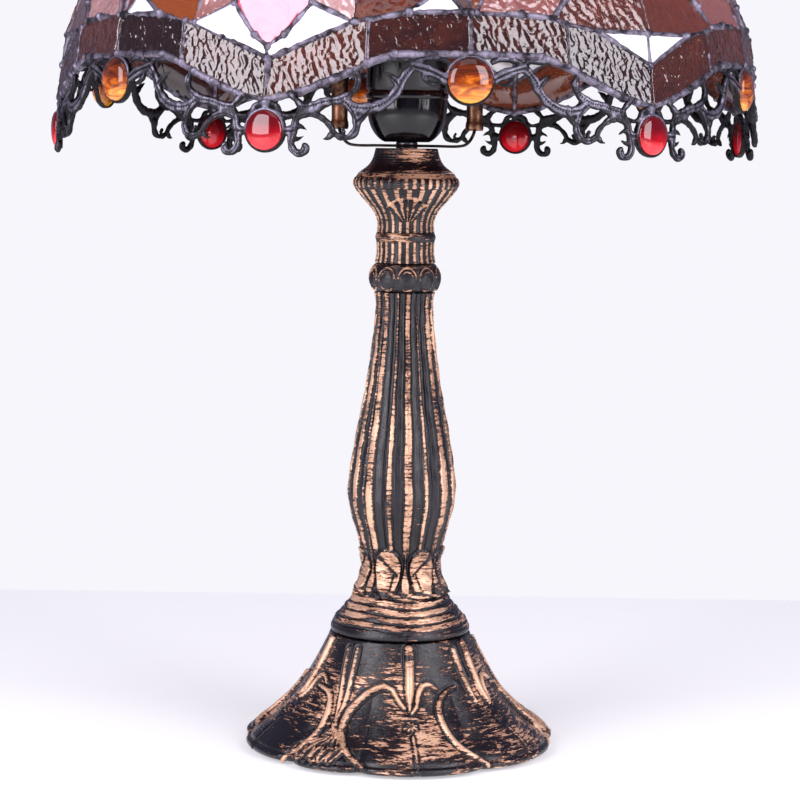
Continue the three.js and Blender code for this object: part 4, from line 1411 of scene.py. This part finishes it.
def make_saddle():
    half = even_curve(SADDLE_HALF, 44)
    path = np.vstack([half * [-1, 1], half[::-1]])
    line, across = upright_line(path)
    front_to_back = np.tile([0.0, 1.0, 0.0], (len(line), 1))
    wide = 4.4 + 6.6 * softly(275.5 - path[:, 1], 0, 4.5)
    corners = np.array([(-0.5, -0.3), (-0.47, -0.5), (0.47, -0.5), (0.5, -0.3),
                        (0.5, 0.3), (0.47, 0.5), (-0.47, 0.5), (-0.5, 0.3)])
    sizes = np.stack([wide, np.full(len(wide), STRIP_THICK)], axis=1)
    points, faces = sweep(line, front_to_back, across, corners * sizes[:, None, :])
    new_piece("saddle_strip", points, faces, dark_bronze, "stand", ["harp_saddle"])


def make_harp():
    line, across = upright_line(even_curve([(-x, z) for x, z in HARP] + HARP[-2::-1], 150))
    front_to_back = np.tile([0.0, 1.0, 0.0], (len(line), 1))
    points, faces = sweep(line, across, front_to_back, oval(16, HARP_WIRE_RADIUS, HARP_WIRE_RADIUS))
    new_piece("harp_wire", points, faces, harp_bronze, "stand", ["harp"])


make_saddle()
make_harp()
turned("harp_top_stud",
       [(6.2, 418.3), (7, 418.5), (7, 419.5), (3.3, 419.7)] + rolled_thread(3.1, 0.35, 420.2, 432.4, 1.0, 4)
       + [(2.2, 433)], [(NEAR_AXIS, 418.3), (NEAR_AXIS, 433)], brass, "harp_stud", columns=40)
for side, x in (("left", -SADDLE_POST), ("right", SADDLE_POST)):
    turned(f"sleeve_{side}",
           [(3.55, 272.5), (3.95, 273.2), (3.95, 275.4), (3.55, 276.4), (3.5, 279), (3.75, 289), (3.9, 293.2),
            (4.1, 294), (4.1, 295.8), (3.6, 297)],
           [(2.9, 272.5), (2.9, 297)], harp_bronze, f"harp_ferrule_{side}",
           f"ferrule_{side}", 40, shift=x)

# %% [markdown]
# ## Crown and finial
# A brass ring is soldered into the crown, a spun cap covers it, and a turned finial screws down on the harp's
# stud through both. The cap and the finial are painted like the stem, so they are cast the same way here.

# %% The top of the lamp
def cap_relief(degrees, run, height, radius):
    beads = np.abs(np.cos(np.radians(degrees * 15)))
    rim = bell(run - 3.4, 1.3)
    rings = bell(run - 15, 0.8) + bell(run - 18, 0.8)
    return 0.35 * beads * rim + 0.3 * rings - 0.35, 0.3 + 0.4 * rim * beads + 0.4 * rings


def finial_relief(degrees, run, height, radius):
    bulge = softly(height, 431, 436) * (1 - softly(height, 442, 446))
    gadroons = np.abs(np.cos(np.radians(degrees * 5))) * bulge
    return 0.35 * gadroons - 0.4 * bulge, 0.22 + 0.5 * gadroons + 0.3 * softly(height, 449, 452)


relief_lathe(
    "spun_vase_cap",
    [(35.2, 418.7), (35.9, 419.1), (35.4, 420), (30, 421.7), (24, 423.3), (14, 423.5), (3.7, 423.5)],
    [(34.4, 418.7), (29.6, 420.2), (24, 421.8), (14, 422), (3.7, 422)],
    240, 60, cap_relief, ["vase_cap"], "shade")
relief_lathe(
    "gadrooned_finial",
    [(8.2, 423.6), (8.4, 424.4), (7.6, 425.6), (5.4, 426.8), (4.6, 428.4), (5.2, 430.6), (8.6, 436.4),
     (9.3, 440.2), (8.4, 443.6), (5, 448), (2.7, 451), (2.5, 453.4), (1.6, 456), (0.05, 457.1)],
    [(3.45, 423.6), (3.45, 434.4), (0.05, 434.5)],
    120, 90, finial_relief, ["finial"], "finial")
turned("brass_crown_ring", [(22.0, 415.6), (22.1, 416.2), (22.1, 420), (21.6, 420.2)],
       [(19.6, 415.8), (19.6, 420.2)], brass, "crown_ring", "shade")
turned("steel_crown_washer", [(10, 420.05), (10, 421.15)], [(3.6, 420.05), (3.6, 421.15)],
       steel, "crown_washer", "shade_carrier", 48)

# %% [markdown]
# ## Inside and under the foot
# These parts hold the lamp together and are seen only from below or with the lamp apart: the hollow rod with
# its nut and washers, the iron weight, the rubber sleeve where the lead comes out, and the felt. The nut, one
# washer and the weight are the CAD solids themselves with a finish on them.

# %% Rod, washers, weight, sleeve and felt
turned("clamping_rod", rolled_thread(4.85, 0.4, 28, 273, 1.5, 4), [(3.2, 28), (3.2, 273)],
       steel, "threaded_rod", columns=28)
turned("wide_washer", [(15, 41.4), (15, 43.4)], [(ROD_HOLE, 41.4), (ROD_HOLE, 43.4)],
       steel, "base_washer", columns=56)
turned("felt_pad", [(57.8, 0.02), (58.9, 0.3), (59, 1.1), (58.6, 1.5)], [(0.05, 0.02), (0.05, 1.5)],
       felt, "base_pad", columns=160)
for node, finish, slot in (("lock_washer", steel, "zinc_steel"), ("rod_nut", steel, "zinc_steel"),
                           ("ballast_weight", iron, "ballast_iron")):
    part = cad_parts[node]
    part.data.materials.clear()
    part.data.materials.append(finish)

SLEEVE = [(3.35, 51), (4.9, 51.2), (4.9, 69.6), (6.6, 69.9), (7, 70.4), (7, 71.2), (5.6, 72.5), (3.35, 72.6)]
points, faces = turned_points(SLEEVE, 48)
pointing_back = np.stack([points[:, 0], points[:, 2], 9 - points[:, 1]], axis=1)
new_piece("rubber_lead_sleeve", pointing_back, faces, rubber, "stand", ["cord_bushing"])

# %% [markdown]
# ## The studio
# The lamp stands on a white table in front of a bright, even background. Two large softboxes stand to the
# left and right in front of it, and a third hangs above. The table is a rectangle that ends a little behind
# the lamp. The background is the world itself, which the camera sees as a pale, slightly violet white.

# %% Table, background and lights
def table_finish(start):
    grain = cloud(start, place(start), 3, 2.0)
    return {"Base Color": mix(start, grain, (236, 238, 234), (240, 242, 239))}


def make_table():
    mesh = bpy.data.meshes.new("table")
    near, far, side = -2.4, 0.35, 2.2
    mesh.from_pydata([(-side, near, 0), (side, near, 0), (side, far, 0), (-side, far, 0)], [], [(0, 1, 2, 3)])
    finish = make_finish("white_table", {
        "Roughness": 0.55, "Emission Color": rgba((247, 246, 252)), "Emission Strength": 0.44}, table_finish)
    mesh.materials.append(finish)
    table = bpy.data.objects.new("table", mesh)
    bpy.context.scene.collection.objects.link(table)
    table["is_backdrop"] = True


def make_background():
    """A world that lights the lamp softly, and is white where it is seen directly or through glass."""
    world = bpy.data.worlds.new("studio")
    bpy.context.scene.world = world
    world.use_nodes = True
    tree = world.node_tree
    tree.nodes.clear()
    start = Wire(tree)
    seen_directly = start.node("LightPath", {}, {}, "Is Camera Ray")
    through_glass = start.node("LightPath", {}, {}, "Is Transmission Ray")
    colour = mix(start, seen_directly + through_glass, (116, 113, 134), (247, 246, 252))
    light = start.node("Background", {}, {"Color": colour, "Strength": 1.0})
    output = tree.nodes.new("ShaderNodeOutputWorld")
    tree.links.new(light.socket, output.inputs["Surface"])


LAMP_MIDDLE = Vector((0, 0, 0.24))


def softbox(name, azimuth, distance, height, width, tall, watts):
    """A rectangle of light that faces the lamp. azimuth is in degrees from the front towards +X."""
    data = bpy.data.lights.new(name, "AREA")
    data.shape = "RECTANGLE"
    data.size, data.size_y = width, tall
    data.energy = watts
    data.color = (0.97, 0.93, 1.0)
    light = bpy.data.objects.new(name, data)
    a = math.radians(azimuth)
    light.location = (distance * math.sin(a), -distance * math.cos(a), height)
    light.rotation_euler = (LAMP_MIDDLE - light.location).to_track_quat("-Z", "Y").to_euler()
    bpy.context.scene.collection.objects.link(light)


make_table()
make_background()
softbox("softbox_left", -46, 1.25, 0.62, 0.75, 1.0, 16)
softbox("softbox_right", 49, 1.25, 0.62, 0.75, 1.0, 14.5)
softbox("softbox_top", 10, 0.6, 1.6, 1.2, 1.2, 4.5)
print("lights:", [light.name for light in bpy.data.lights])

# %% [markdown]
# ## The camera
# It stands a little over a metre away, level with the top of the stem, and looks slightly down with a long
# lens, so the shade's hem is seen from a little below and the foot from above.

# %% Camera
camera_data = bpy.data.cameras.new("camera")
camera_data.lens = 108
camera_data.sensor_width = 36
camera = bpy.data.objects.new("camera", camera_data)
camera.location = (-0.0014, -1.056, 0.2658)
camera.rotation_mode = "QUATERNION"
looks_down, leans = math.radians(6.06), math.radians(0.8)
tilt = Quaternion((1, 0, 0), math.radians(90) - looks_down)
roll = Quaternion((0, 0, 1), leans)
camera.rotation_quaternion = tilt @ roll
bpy.context.scene.collection.objects.link(camera)
bpy.context.scene.camera = camera
bpy.context.scene.view_settings.view_transform = "Standard"
print("camera", round((camera.location - LAMP_MIDDLE).length, 3), "m from the lamp's middle")

# %% [markdown]
# Last, the box round everything that is shown is printed beside the box of the CAD model. The surfaces should
# fill it and not reach past it.

# %% Sizes
low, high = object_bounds()
sizes = {"cad": [list(cad_low), list(cad_high)], "visual": [list(low), list(high)]}
for label, (a, b) in sizes.items():
    print(label, [round(v / MM, 1) for v in a], [round(v / MM, 1) for v in b], "mm")
